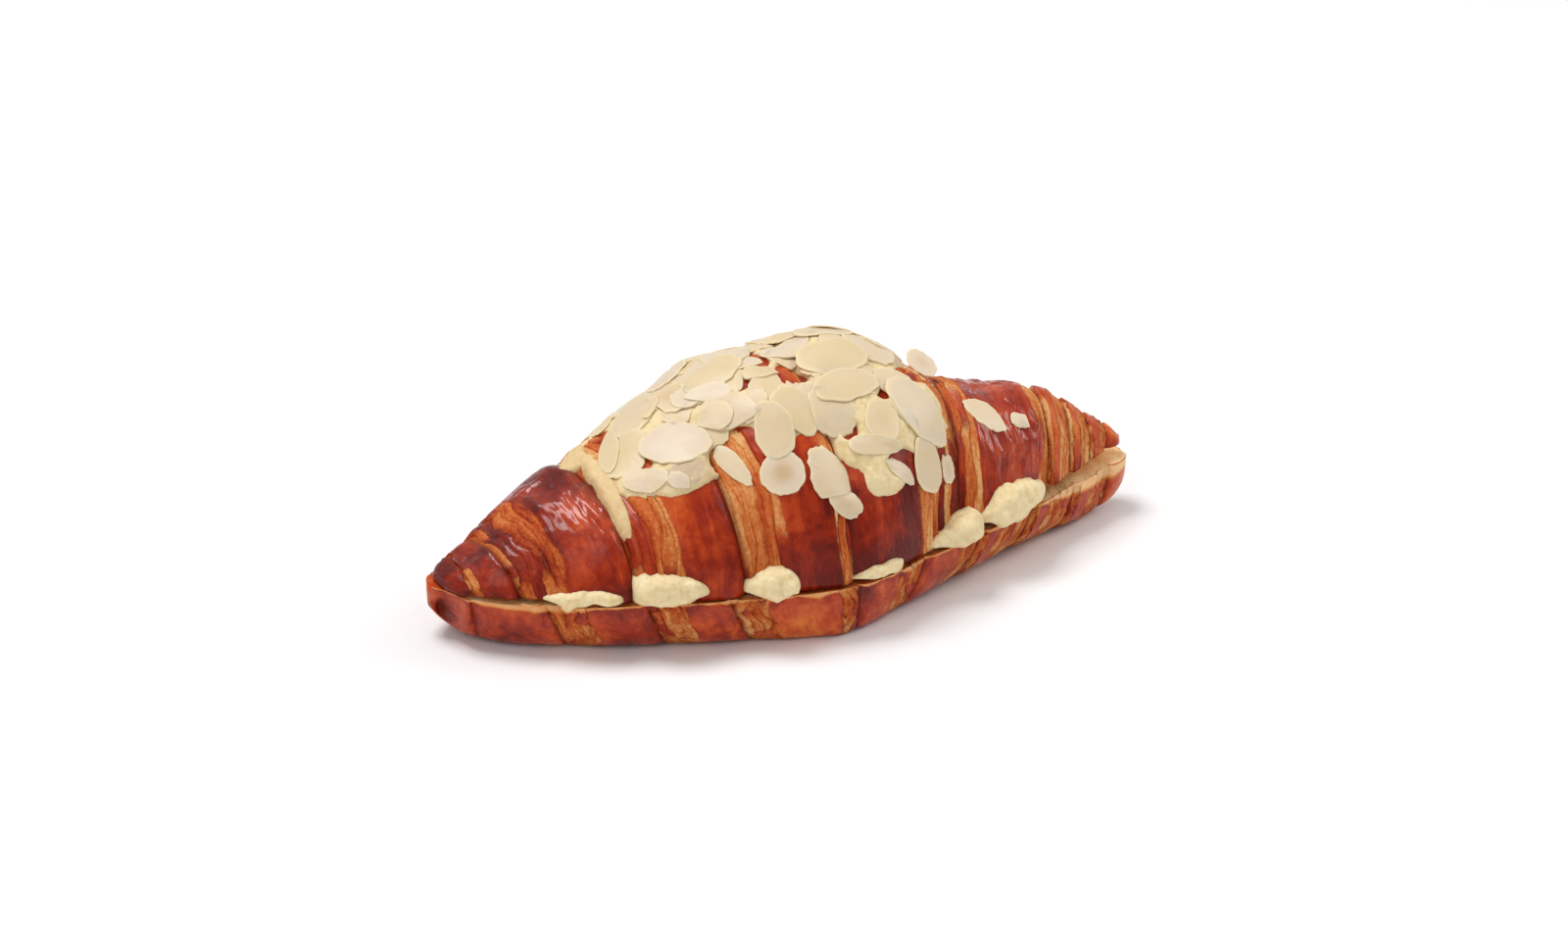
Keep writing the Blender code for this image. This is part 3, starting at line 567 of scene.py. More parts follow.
def wrinkles(x, turn, seed):
    """Long thin folds in the wrinkled places, in metres: sharp crests where noise, drawn out round the
    roll, passes its middle value."""
    bend = 1.2 * noise(pair(x / 0.006, 3 * turn), seed + 9)
    fold = fractal(pair(x / FOLD_PITCH + bend, 2.6 * turn), seed + 10, 4)
    return sum(place[4] * spread(x, turn, place) for place in WRINKLED) * (1 - np.abs(2 * fold - 1) * 3)


# Lid


def lid_form(x, turn):
    """Smooth lid at (x, turn): y, z, and the outward direction in the YZ plane."""
    width = lid_width(x, np.cos(turn) > 0)
    height = np.maximum(smooth(x, CREST), LID_TIP) * tip_rounding(x, LID_HALF, LID_TIP)
    c, s = np.cos(turn), np.sin(turn)
    steep = np.hypot(height * c, width * s) + 1e-9
    z = lid_edge(x) + height * np.abs(s) ** CREST_POWER
    return -width * c, z, -height * c / steep, width * s / steep


def lid_ridges(v, x, turn):
    """Height of the lid's ridges over its smooth form, in metres."""
    fade = np.clip((HALF - np.abs(x)) / LID_FADE, LEAST_RIDGE, 1)
    return LID_RIDGE * (relief(v, LID_BANDS) + LID_BUMPS * unevenness(x, turn)) * fade


def lid_points(v, turn):
    """Crust of the lid at (v, turn) with all its detail, and the masks that its material reads."""
    x = roll_x(v, turn, LID_SEAMS)
    y, z, out_y, out_z = lid_form(x, turn)
    base = np.stack([x, y, z], -1)
    height, tone, crevice, band = layers(v, turn, LID_SEAMS, LID_BANDS, 3)
    tone = np.clip(tone + LID_PALER - LEFT_DARKER * soft_step(-x, 0.048, 0.056), 0, 1)
    gloss = (blisters(base, 20) + wrinkles(x, turn, 20)) * (1 - band)
    off = lid_ridges(v, x, turn) + height + gloss + dents(base, 24)
    off = off * tip_rounding(x, LID_HALF, LID_TIP)
    low = lid_edge(x) + 0.0006 * (fractal(pair(x / 0.004, 0 * turn), 31, 3) - 0.6)
    points = np.stack([x, y + out_y * off, np.maximum(z + out_z * off, low)], -1)
    shine = LOW_SHINE + (CREST_SHINE - LOW_SHINE) * soft_step(np.degrees(turn), 50, 90)
    for place in WRINKLED:
        shine = np.maximum(shine, spread(x, turn, place) ** (1 / SHINE_SPREAD))
    looks = (tone, crevice, band, shine, 40)
    return points, crust_masks(v, turn, base, LID_SEAMS, LID_BANDS, LID_BAKE, *looks)


def crust_masks(v, turn, base, seams, bands, bakes, tone, crevice, band, shine, seed):
    """What the crust's material reads at each point: band and tone, which are where the layers show and
    how pale they are; the seam mask, how deep in a seam or crevice it is, which the material turns into
    painted shade; bake, how brown the wraps are, with painted shade added along the seams and near the
    front edge of the cut; shine, how much of the gloss shows; crumb, where the crust is cut open; and
    skin, the place on the unrolled crust."""
    rolled = np.interp(v, np.arange(len(seams)), np.array(seams)[:, 0])
    wrap = np.clip(np.floor(v).astype(int), 0, len(bakes) - 1)
    share = v - wrap
    blotches = fractal(base / 0.013, seed, 4) - 0.5
    streaks = fractal(pair(rolled / 0.0016, 1.4 * turn), seed + 7, 3) - 0.5
    # Painted shade: darker near the front edge of the cut, where the two halves meet.
    front_gap_shade = np.exp(-np.abs(turn) / 0.40)
    seam_shade = np.exp(-np.minimum(share, 1 - share) / 0.06)
    crest = soft_step(turn, 0.8, 1.4) * soft_step(-base[..., 0], 0.040, 0.048)
    bake = np.array(bakes)[wrap] + 0.95 * blotches + 0.32 * streaks
    # Bake holds the wraps' browning and the browner crest on the left, plus painted shade along the seams
    # and near the front edge of the cut.
    bake = bake + 0.15 * seam_shade + 0.27 * front_gap_shade + 0.14 * crest
    # How deep in a seam or crevice a point is; the material darkens the colour there as painted shade.
    groove = soft_step(-relief(v, bands), 0.0, SEAM_DEPTH)
    return {
        "band": band,
        "tone": tone,
        "groove": np.clip(groove + 0.45 * crevice, 0, 1),
        "bake": np.clip(bake, 0, 1),
        "crumb": 0.0 * band,
        "shine": shine + 0.0 * band,
        "skin": np.stack(np.broadcast_arrays(rolled * 100, turn * 3.0, 0.0 * turn), -1),
    }


def cut_face(first, last, height_at, seed):
    """Rows of points across a cut face, from one edge of the crust to the other, and their masks."""
    share = np.array(FACE_SHARES)[None, :, None]
    points = first[:, None] * (1 - share) + last[:, None] * share
    across = np.abs(2 * share[..., 0] - 1)
    inner = soft_step(1 - across, -0.01, 0.14)
    rough = 0.0009 * (fractal(points / 0.0025, seed, 4) - 0.5) * soft_step(1 - across, 0.0, 0.03)
    points[..., 2] = height_at(points[..., 0], across) + rough
    inner = inner * soft_step(points[..., 0], -0.0765, -0.0735)
    masks = {
        "band": inner * 0.0,
        "tone": fractal(points / 0.003, seed + 1, 3),
        "groove": inner * 0.0,
        "bake": inner * 0.0 + 0.4,
        "crumb": inner,
        "shine": inner * 0.0,
        "skin": points * 100,
    }
    return points, masks


def joined(parts):
    """One set of rings from several (points, masks) that lie side by side round the roll."""
    masks = {}
    for name in parts[0][1]:
        full = [np.broadcast_to(m[name], p.shape if name == "skin" else p.shape[:2]) for p, m in parts]
        masks[name] = np.concatenate(full, 1)
    return np.concatenate([points for points, _ in parts], 1), masks


def lid_rings():
    """A ring of points for each column: over the crust from front to back, then back under the vaulted
    cut face."""
    v = columns(LID_SEAMS, LID_BANDS)[:, None]
    turn = np.linspace(0, math.pi, LID_ROWS)[None, :] + 0 * v
    crust, masks = lid_points(v + 0 * turn, turn)

    def underside(x, across):
        return lid_edge(x) + LID_VAULT * (1 - across**2) * flat_tips(x)

    return joined([(crust, masks), cut_face(crust[:, -1], crust[:, 0], underside, 50)])


# Lower half


def tuck(x, front):
    """How far the wall has curved in where it meets the surface it lies on."""
    right = smooth(x, ((CORNER_X, TUCK_CORNER), (0.030, TUCK_RIGHT * 0.75), (0.060, TUCK_RIGHT)))
    left = smooth(x, ((-0.060, TUCK_LEFT), (-0.030, TUCK_LEFT * 0.85), (CORNER_X, TUCK_CORNER)))
    inward = np.where(front, np.where(x < CORNER_X, left, right), TUCK_BACK)
    return np.minimum(inward, MOST_TUCK * lower_width(x, front))


def crumb_rim(x, below):
    """How much the pale crumb shows on the wall, from the edge of the cut down to a depth that changes
    along x. It is paler near the right tip."""
    reach = smooth(x, CRUMB_RIM) + 0.0007 * (fractal(pair(x / 0.0022, 0 * x), 95, 3) - 0.5)
    pale = 0.60 + 0.16 * soft_step(x, 0.050, 0.062)
    return (1 - soft_step(below, 0.7 * reach, 1.2 * reach + 0.0001)) * pale


def lower_wall(v, down, front):
    """Wall of the lower half from the edge of the cut (down 0) to the surface it lies on (down 1),
    with masks: a quarter of an oval, with the ridges, the layers and the rolled end at the left tip
    added outwards. The hollow of the rolled end is darkened as painted shade."""
    side = -1 if front else 1
    angle = down * QUARTER
    turn = -LEAN * angle if front else math.pi + angle
    x = roll_x(v, turn, LOWER_SEAMS)
    width = lower_width(x, front)
    depth = CUT * np.sqrt(1 - KEEL_RISE * np.clip((np.abs(x) - (HALF - KEEL)) / KEEL, 0, 1) ** 2)
    below = depth * np.sin(angle)
    base = np.stack([x, side * width, CUT - below], -1)
    height, tone, crevice, band = layers(v, turn, LOWER_SEAMS, LOWER_BANDS, 60)
    ridge = LOWER_RIDGE * (relief(v, LOWER_BANDS) + LOWER_BUMPS * unevenness(x, -angle))
    detail = ridge + height + blisters(base, 70) * (1 - band) + dents(base, 74)
    detail = detail * np.clip((HALF - np.abs(x)) / LOWER_FADE, 0, 1) * np.cos(angle) ** 0.5
    lip_x, lip_reach, lip_height = SPIRAL_LIP
    lip = lip_height * np.exp(-(((x - lip_x) / lip_reach) ** 2)) * np.cos(angle) ** 0.5
    hollow_x, hollow_reach, hollow_depth = SPIRAL_HOLLOW
    hollow_and_shade = front * np.exp(-(((x - hollow_x) / hollow_reach) ** 2) - ((down - 0.45) / 0.30) ** 2)
    hollow = np.minimum(hollow_depth * hollow_and_shade, width * 0.6)
    out = width - tuck(x, front) * (1 - np.cos(angle)) + detail + lip - hollow
    points = np.stack([x, side * out, CUT - below], -1)
    looks = (tone, crevice, band, LOWER_SHINE, 80)
    masks = crust_masks(v, turn, base, LOWER_SEAMS, LOWER_BANDS, LOWER_BAKE, *looks)
    masks["crumb"] = crumb_rim(x, below)
    # The rolled end's hollow is darker and counts as deep in a seam: painted shade.
    masks["bake"] = np.clip(masks["bake"] + 0.7 * hollow_and_shade, 0, 1)
    masks["groove"] = np.clip(masks["groove"] + 1.1 * hollow_and_shade, 0, 1)
    return points, masks


def lower_rings():
    """A ring of points for each column: down the front, under, up the back, over the cut face."""
    v = columns(LOWER_SEAMS, LOWER_BANDS)[:, None]

    def wall(rows, front, upwards):
        down = np.linspace(0, 1, rows)[None, :] ** 1.4 + 0 * v
        down = down[:, ::-1] if upwards else down
        return lower_wall(v + 0 * down, down, front)

    def face(x, across):
        return CUT - LOWER_DISH * (1 - across**DISH_POWER) * flat_tips(x)

    front, back = wall(LOWER_FRONT_ROWS, True, False), wall(LOWER_BACK_ROWS, False, True)
    share = np.linspace(0, 1, 5)[None, 1:-1, None]
    under = front[0][:, -1:] * (1 - share) + back[0][:, :1] * share
    under_masks = {name: mask[:, -1:] for name, mask in front[1].items()}
    return joined([front, (under, under_masks), back, cut_face(back[0][:, -1], front[0][:, 0], face, 90)])


# Meshes


def ring_faces(count, sides, start=0):
    """Faces of a closed skin over count rings of equal length, drawn to a point at both ends. The
    first point comes after the rings, the last one after that."""
    k, i = np.meshgrid(np.arange(count - 1), np.arange(sides), indexing="ij")
    j = (i + 1) % sides
    here, following = k * sides, (k + 1) * sides
    quads = np.stack([here + i, following + i, following + j, here + j], -1).reshape(-1, 4)
    i = np.arange(sides)
    j = (i + 1) % sides
    last = (count - 1) * sides
    first_fan = np.stack([np.full(sides, count * sides), i, j], -1)
    last_fan = np.stack([np.full(sides, count * sides + 1), last + j, last + i], -1)
    return (quads + start).tolist() + (first_fan + start).tolist() + (last_fan + start).tolist()


def add_skins(name, skins):
    """One object from closed skins, each (rings, first tip, last tip, masks by name)."""
    vertices, faces, values = [], [], {}
    start = 0
    for rings, first_tip, last_tip, masks in skins:
        count, sides = rings.shape[:2]
        vertices.append(np.concatenate([rings.reshape(-1, 3), [first_tip, last_tip]]))
        faces += ring_faces(count, sides, start)
        start += count * sides + 2
        for key, mask in masks.items():
            parts = (3,) if key == "skin" else ()
            full = np.broadcast_to(mask, (count, sides) + parts)
            ends = np.stack([full[0].mean(0), full[-1].mean(0)])
            values.setdefault(key, []).append(np.concatenate([full.reshape((-1,) + parts), ends]))
    mesh = bpy.data.meshes.new(name)
    mesh.from_pydata(np.concatenate(vertices).tolist(), [], faces)
    for key, parts in values.items():
        kind, field = ("FLOAT_VECTOR", "vector") if key == "skin" else ("FLOAT", "value")
        attribute = mesh.attributes.new(key, kind, "POINT")
        attribute.data.foreach_set(field, np.concatenate(parts).astype(np.float32).ravel())
    mesh.shade_smooth()
    obj = bpy.data.objects.new(name, mesh)
    bpy.context.scene.collection.objects.link(obj)
    return obj


def dress(obj, material, slot, *nodes):
    """Gives a finished piece its material, puts it under the root empty and hides the imported nodes it
    stands for.
    """
    obj.data.materials.append(material)
    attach(obj, "root")
    if nodes:
        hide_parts(*nodes)


def tree_of(name):
    """Search tree of a finished piece."""
    obj = bpy.data.objects.get(name)
    if obj is None:
        raise RuntimeError(f"make {name} first")
    return BVHTree.FromObject(obj, bpy.context.evaluated_depsgraph_get())


# Filling


def slab_rings():
    """A flat lens that follows the vaulted lid above it and the dished face below it."""
    x = np.linspace(-SLAB_HALF_LENGTH, SLAB_HALF_LENGTH, 60)[:, None]
    angle = np.linspace(0, -2 * math.pi, 32, endpoint=False)[None, :]
    y_share = -np.cos(angle)
    front = y_share < 0
    fade = (1 - (x / (SLAB_HALF_LENGTH + SLAB_TIP)) ** 2) ** 0.25
    half = np.maximum(np.minimum(lid_width(x, front), lower_width(x, front)) - SLAB_INSET, SLAB_TIP) * fade
    y = half * y_share
    across = y / lid_width(x, front)
    top = lid_edge(x) + LID_VAULT * (1 - across**2) * flat_tips(x) - SLAB_GAP
    bottom = CUT - LOWER_DISH * (1 - across**DISH_POWER) * flat_tips(x) + SLAB_GAP
    middle, half_thick = (top + bottom) / 2, (top - bottom) / 2
    z = middle + half_thick * np.sign(np.sin(angle)) * np.abs(np.sin(angle)) ** SLAB_EDGE
    return np.stack([x + 0 * angle, y, z], -1)


def squeezed_skin(number, row):
    """Cream pressed out along the edge of the cut: a squarish section carried along the edge, swollen
    where it is thickest and blunt or pointed at its ends, with lumps from noise, and a drip where the
    row gives one."""
    side, first, last, half_height, over_cut, stand_out, thickest, blunt_first, blunt_last, drip = row
    front = side < 0
    a = np.linspace(0.004, 0.996, 110)[:, None]
    angle = np.linspace(0, -2 * math.pi, 60, endpoint=False)[None, :]
    bend = math.log(0.5) / math.log(thickest)
    pointed = blunt_first + (blunt_last - blunt_first) * soft_step(a, 0.2, 0.8)
    swell = np.sin(math.pi * a**bend) ** pointed
    x = first + (last - first) * a
    outward, upward = np.cos(angle), np.sin(angle)
    square = (np.abs(outward) ** SQUARISH + np.abs(upward) ** SQUARISH) ** (-1 / SQUARISH)
    y = lower_width(x, front) + (stand_out - SQUEEZE_DEPTH + SQUEEZE_DEPTH * square * outward) * swell
    y = y - 0.0015 * (1 - swell)
    z = CUT + over_cut * (0.55 + 0.45 * swell) + half_height * swell * square * upward
    points = np.stack([x + 0 * angle, side * y, z + 0 * x], -1)
    away = np.stack([0 * y, side * outward + 0 * y, upward + 0 * y], -1)
    place = points + 0.05 * number
    lumps = 0.0030 * (fractal(place / 0.0046, 120, 2) - 0.5)
    lumps = lumps + 0.0007 * (fractal(place / 0.0014, 130, 3) - 0.5)
    points = points + away * (lumps * np.clip(swell * 1.3, 0, 1))[..., None]
    points[..., 2] -= drip * np.exp(-(((a - 0.27) / 0.07) ** 2)) * np.clip(-upward, 0, 1)
    if not front:
        points = points[:, ::-1]
    masks = {"thin": 1 - swell + 0 * angle, "tint": 0 * y + 0.5}
    return points, points[0].mean(0), points[-1].mean(0), masks


# Topping


def cream_field(x, turn):
    """How far inside the cream a place is: above 0 in it, below 0 on bare crust, with the cream's
    thickness. Patches of cream are squarish ovals, bare ones ovals, all with ragged rims from noise."""
    ragged = 0.33 * (fractal(pair(x / 0.0042, turn / 0.14), 150, 4) - 0.5)
    inside, thick = np.full(np.broadcast(x, turn).shape, -9.0), 0.0
    for patch in CREAM_PATCHES:
        along, around = np.abs(reaches(x, turn, patch))
        away = (along**PATCH_POWER + around**PATCH_POWER) ** (1 / PATCH_POWER)
        thick = np.maximum(thick, patch[4] * np.clip(1.6 - away, 0, 1))
        inside = np.maximum(inside, 1 - away)
    for patch in BARE_PATCHES:
        inside = np.minimum(inside, (np.hypot(*reaches(x, turn, patch)) - 1) * 0.8)
    return inside + ragged, thick


def cream_skin():
    """Cream on the lid: the lid's form, with grooves half filled, lifted by the cream's thickness and
    sunk under the crust where it is bare, closed by an underside inside the lid."""
    x = np.linspace(*CREAM_ENDS, CREAM_ACROSS)[:, None]
    turn = np.radians(np.linspace(*CREAM_TURNS, CREAM_AROUND))[None, :] + 0 * x
    x = x + 0 * turn
    y, z, out_y, out_z = lid_form(x, turn)
    inside, thick = cream_field(x, turn)
    rounded = np.sqrt(np.clip(inside / 0.30, 0, 1))
    lumps = 0.0012 * (fractal(pair(x / 0.0060, turn / 0.20), 160, 4) - 0.5)
    fine = 0.0004 * (fractal(pair(x / 0.0011, turn / 0.035), 170, 3) - 0.5)
    ridges = lid_ridges(roll_v(x, turn, LID_SEAMS), x, turn)
    spread_on = ridges * np.where(ridges < 0, 0.45, 0.9) + (thick + lumps + fine) * rounded
    sunk = ridges + 0.012 * np.maximum(inside, -0.12) - 0.0002
    off = np.where(inside > 0, spread_on, sunk)

    def shifted(out):
        return np.stack([x, y + out_y * out, z + out_z * out], -1)

    under = shifted(CREAM_FLOOR)[:, ::-1][:, ::30]
    glaze = np.clip(sum(patch[4] * spread(x, turn, patch) for patch in GLAZED_PATCHES), 0, 1)
    thin = np.maximum(1 - rounded, soft_step(-x + lumps / 0.3, 0.0412, 0.0432))
    hidden = 0 * under[..., 0]
    masks = {
        "thin": np.concatenate([thin, hidden + 1], 1)[:, ::-1],
        "tint": np.concatenate([glaze, hidden], 1)[:, ::-1],
    }
    rings = np.concatenate([shifted(off), under], 1)[:, ::-1]
    return rings, rings[0].mean(0), rings[-1].mean(0), masks


# Sliced almonds. Each slice: x, turn in degrees, length, width, heading in degrees from +X towards the
# crest, taper towards its far end and squareness of its outline. The last ones lie on top.
PLACED_SLICES = (
    (-0.0206, 112, 0.0110, 0.0075, 20, 0.1, 2.0),
    (-0.0310, 100, 0.0150, 0.0110, 50, 0.2, 2.1),
    (-0.0372, 78, 0.0135, 0.0098, 46, 0.3, 2.1),
    (-0.0395, 87, 0.0150, 0.0050, 66, 0.1, 1.8),
    (-0.0245, 92, 0.0115, 0.0095, -70, 0.1, 2.0),
    (-0.0100, 101, 0.0115, 0.0100, 30, 0.1, 2.1),
    (-0.0216, 86, 0.0080, 0.0062, 0, 0.2, 1.9),
    (-0.0283, 92, 0.0070, 0.0032, 41, 0.1, 1.7),
    (-0.0155, 91, 0.0140, 0.0112, 10, 0.2, 2.2),
    (-0.0181, 82, 0.0105, 0.0042, -25, 0.0, 1.8),
    (0.0010, 112, 0.0080, 0.0065, 0, 0.1, 2.0),
    (0.0065, 109, 0.0112, 0.0080, -10, 0.1, 2.1),
    (0.0015, 93, 0.0125, 0.0080, -15, 0.3, 2.0),
    (-0.0078, 81, 0.0080, 0.0060, -20, 0.2, 2.0),
    (-0.0165, 70, 0.0130, 0.0100, -35, 0.2, 2.1),
    (-0.0287, 68, 0.0152, 0.0115, -35, 0.1, 2.2),
    (-0.0201, 70, 0.0080, 0.0072, -25, 0.0, 2.0),
    (0.0185, 103, 0.0130, 0.0100, 20, 0.1, 2.1),
    (0.0175, 90, 0.0135, 0.0095, -10, 0.1, 2.1),
    (0.0115, 103, 0.0125, 0.0090, 0, 0.1, 2.0),
    (0.0095, 84, 0.0170, 0.0125, 10, 0.2, 2.1),
    (0.0012, 64, 0.0120, 0.0090, -50, 0.1, 2.1),
    (-0.0055, 61, 0.0130, 0.0080, -70, 0.2, 2.0),
    (0.0022, 60, 0.0120, 0.0110, 80, 0.1, 2.2),
    (0.0078, 68, 0.0166, 0.0088, 5, 0.1, 2.1),
    (-0.0120, 40, 0.0094, 0.0092, -95, 0.0, 2.1),
    (-0.0108, 57, 0.0150, 0.0080, -98, -0.2, 2.0),
    (0.0122, 52, 0.0115, 0.0080, 60, 0.1, 2.1),
    (0.0180, 54, 0.0088, 0.0036, -55, 0.1, 1.8),
    (0.0216, 33, 0.0118, 0.0086, -95, -0.2, 2.4),
    (0.0280, 29, 0.0060, 0.0040, -84, 0.0, 3.5),
    (0.0225, 55, 0.0172, 0.0118, -62, 0.1, 2.2),
    (0.0088, 43, 0.0130, 0.0046, -18, 0.2, 1.9),
    (0.0135, 32, 0.0085, 0.0040, -40, 0.1, 1.9),
    (-0.0003, 27, 0.0082, 0.0056, -40, 0.1, 2.2),
    (-0.0024, 38, 0.0125, 0.0100, -60, -0.35, 2.2),
    (-0.0207, 50, 0.0114, 0.0044, -72, 0.1, 1.9),
    (-0.0368, 59, 0.0104, 0.0054, -40, 0.0, 3.2),
    (-0.0311, 51, 0.0054, 0.0034, -53, 0.0, 2.2),
    (0.0238, 99, 0.0100, 0.0080, 10, 0.1, 2.0),
    (0.0150, 110, 0.0115, 0.0085, -20, 0.1, 2.1),
    (0.0316, 96, 0.0052, 0.0078, 72, 0.1, 2.0),
    (0.0413, 60, 0.0104, 0.0072, -47, 0.1, 2.1),
    (0.0494, 52, 0.0052, 0.0034, -30, 0.2, 2.6),
)
TAN_SLICE = (-0.0120, 40)  # place of the slice with the brownest middle
RAISED_SLICE = (0.0316, 96)  # place of the slice whose far end stands up
RAISE = 0.80  # its slope
LOOSE_FROM_X, LOOSE_SINK = 0.036, 0.0002  # slices past this x lie on bare crust, with a sink of their own
SLICE_AROUND, SLICE_RINGS = 80, 4
WAVY, TORN = 0.06, 0.34  # how wavy and how ragged the rims are
SNAPPED = 0.85  # how straight a broken side is
CONFORM = 0.75  # how far a slice bends to the crust under it
DROOP = 0.9  # how far its rim follows what is under it
MOST_SAG, MOST_LIFT = 0.0012, 0.0006
CURL = 0.05
MOST_TILT = 0.30  # steepest tilt of a slice against the lid's form
PROBES = (0.4, 0.7, 0.92)  # where a slice feels for what is under it, as shares of the way to its rim
SCATTER_X, SCATTER_TURN = (-0.040, 0.031), (66, 143)  # where they are scattered, turn in degrees
BACK_TURN = 108  # scattered slices past this turn, in degrees, are larger
BETWEEN_SLICES = 0.0058


class Bed:
    """What slices are laid on: the pieces and slices that are already there."""

    def __init__(self, trees):
        self.trees = list(trees)

    def height(self, place, out, above=0.03, below=0.02):
        """How far over place, along out, the topmost thing is, or nan where there is nothing."""
        start, way = Vector(place + out * above), Vector(-out)
        hits = [tree.ray_cast(start, way, above + below)[0] for tree in self.trees]
        heights = (float(np.dot(np.array(hit) - place, out)) for hit in hits if hit is not None)
        return max(heights, default=math.nan)


def spot(x, turn):
    """Point on the smooth lid at x and turn, with its along, up-the-side and outward directions, and
    how far it moves for each radian of turn."""

    def at(x, turn):
        y, z, _, _ = lid_form(np.float64(x), np.float64(turn))
        return np.array([x, float(y), float(z)])

    step, part_turn = 0.0005, 0.02
    along = at(x + step, turn) - at(x - step, turn)
    along /= np.linalg.norm(along)
    up = at(x, turn + part_turn) - at(x, turn - part_turn)
    per_radian = np.linalg.norm(up) / (2 * part_turn)
    out = np.cross(along, up)
    out /= np.linalg.norm(out)
    return at(x, turn), along, np.cross(out, along), out, per_radian


def slice_outline(angle, length, width, taper, square, rng):
    """Outline of a slice: a superellipse, narrower towards one end, wavy by a sum of sines, ragged by
    noise, and broken off straight here and there."""
    c, s = np.cos(angle), np.sin(angle)
    fit = (np.abs(c) ** square + np.abs(s) ** square) ** (-1 / square)
    waves = (2, 3, 4, 6, 9, 13)
    wave = sum(rng.uniform(0, WAVY / k**0.5) * np.sin(k * angle + rng.uniform(0, 6.3)) for k in waves)
    torn = rng.uniform(0, TORN) * (fractal(pair(4 * c, 4 * s + rng.uniform(0, 99)), 9, 3) - 0.5)
    fit = fit * (1 + wave + torn)
    a, b = length / 2 * c * fit, width / 2 * s * fit * (1 - taper * c)
    for _ in range(rng.integers(0, 4)):
        way = rng.uniform(0, 2 * math.pi)
        reach = a * math.cos(way) + b * math.sin(way)
        over = np.maximum(reach - reach.max() * rng.uniform(0.66, 0.95), 0) * SNAPPED
        a, b = a - over * math.cos(way), b - over * math.sin(way)
    return a, b


def resting(bed, surface, out, edge_a, edge_b, sink):
    """How a sheet rests on the bed: the plane (height, slope along a, slope along b) over the sheet's
    own form that fits what is under it and sinks a little into its high points, and how far the rim
    sags from it."""
    rim_a, rim_b = edge_a[::4], edge_b[::4]
    a = np.concatenate([[0.0], *(rim_a * share for share in PROBES)])
    b = np.concatenate([[0.0], *(rim_b * share for share in PROBES)])
    heights = np.array([bed.height(point, out) for point in surface(a, b)])
    known = np.isfinite(heights)
    flat = np.stack([np.ones(len(a)), a, b], -1)
    plane = np.linalg.lstsq(flat[known], heights[known], rcond=None)[0]
    plane[1:] = np.clip(plane[1:], -MOST_TILT, MOST_TILT)
    over = heights - flat @ plane
    touching = max(np.quantile(over[known], 0.75), np.nanmax(over[: -len(rim_a)]))
    sag = np.clip(np.nan_to_num(over[-len(rim_a) :] - touching + sink), -MOST_SAG, MOST_LIFT)
    plane[0] += touching - sink
    return plane, (np.roll(sag, 1) + sag + np.roll(sag, -1)) / 3


def slice_skin(bed, row, rng, thickness, sink, core, slope):
    """A thin slice laid on the bed: rings from the middle of its upper face over its rounded rim to
    the middle of its lower face. It is bent part of the way to the lid's form, lies on what is under
    it with a sagging rim, and tilts up by slope. Core is how brown its middle is."""
    x, turn, length, width, heading, taper, square = row
    turn, heading = math.radians(turn), math.radians(heading)
    place, along, up, out, per_radian = spot(x, turn)
    axis = along * math.cos(heading) + up * math.sin(heading)
    side = np.cross(out, axis)

    def surface(a, b):
        """Points of the bent sheet at local coordinates a and b."""
        dx = a * math.cos(heading) - b * math.sin(heading)
        dt = (a * math.sin(heading) + b * math.cos(heading)) / per_radian
        y, z, _, _ = lid_form(x + dx, turn + dt)
        on_lid = np.stack([x + dx, y, z], -1)
        flat = place + a[..., None] * axis + b[..., None] * side
        drop = ((on_lid - flat) @ out)[..., None] * out
        return flat + CONFORM * drop

    angle = np.linspace(0, 2 * math.pi, SLICE_AROUND, endpoint=False)
    edge_a, edge_b = slice_outline(angle, length, width, taper, square, rng)
    plane, sag = resting(bed, surface, out, edge_a, edge_b, sink)
    sag = np.interp(angle, angle[::4], sag, period=2 * math.pi)
    plane[0] += slope * length / 2
    plane[1] += slope
    inner = np.linspace(0.2, 0.94, SLICE_RINGS)
    shares = np.array([*inner, 0.985, 1.0, 0.995, *inner[::-1]])[:, None]
    level = np.array([*[1.0] * SLICE_RINGS, 0.95, 0.60, 0.02, *[0.0] * SLICE_RINGS])[:, None]
    a, b = shares * edge_a, shares * edge_b
    curl = rng.uniform(-1, 1) * (a / length) ** 2 + rng.uniform(-1, 1) * (b / width) ** 2
    lift = plane[0] + plane[1] * a + plane[2] * b + level * thickness + CURL * width * curl
    lift = lift + DROOP * sag * shares**2
    depth = 0 * a + rng.uniform(0, 99)
    grain = 0.00012 * (fractal(np.stack([a / 0.0020, b / 0.0020, depth], -1), 7, 2) - 0.5) * (level > 0.9)
    points = surface(a, b) + out * (lift + grain)[..., None]
    middle = surface(np.zeros(1), np.zeros(1))[0]
    tips = [middle + out * (plane[0] + thickness * top) for top in (1, 0)]
    masks = {"rim": shares + 0 * a, "tint": rng.uniform(0, 1) + 0 * a, "core": core + 0 * a}
    return points, *tips, masks


def skin_tree(skin):
    """Search tree of a slice's skin."""
    rings, first_tip, last_tip, _ = skin
    vertices = np.concatenate([rings.reshape(-1, 3), [first_tip, last_tip]])
    return BVHTree.FromPolygons(vertices.tolist(), ring_faces(*rings.shape[:2]))


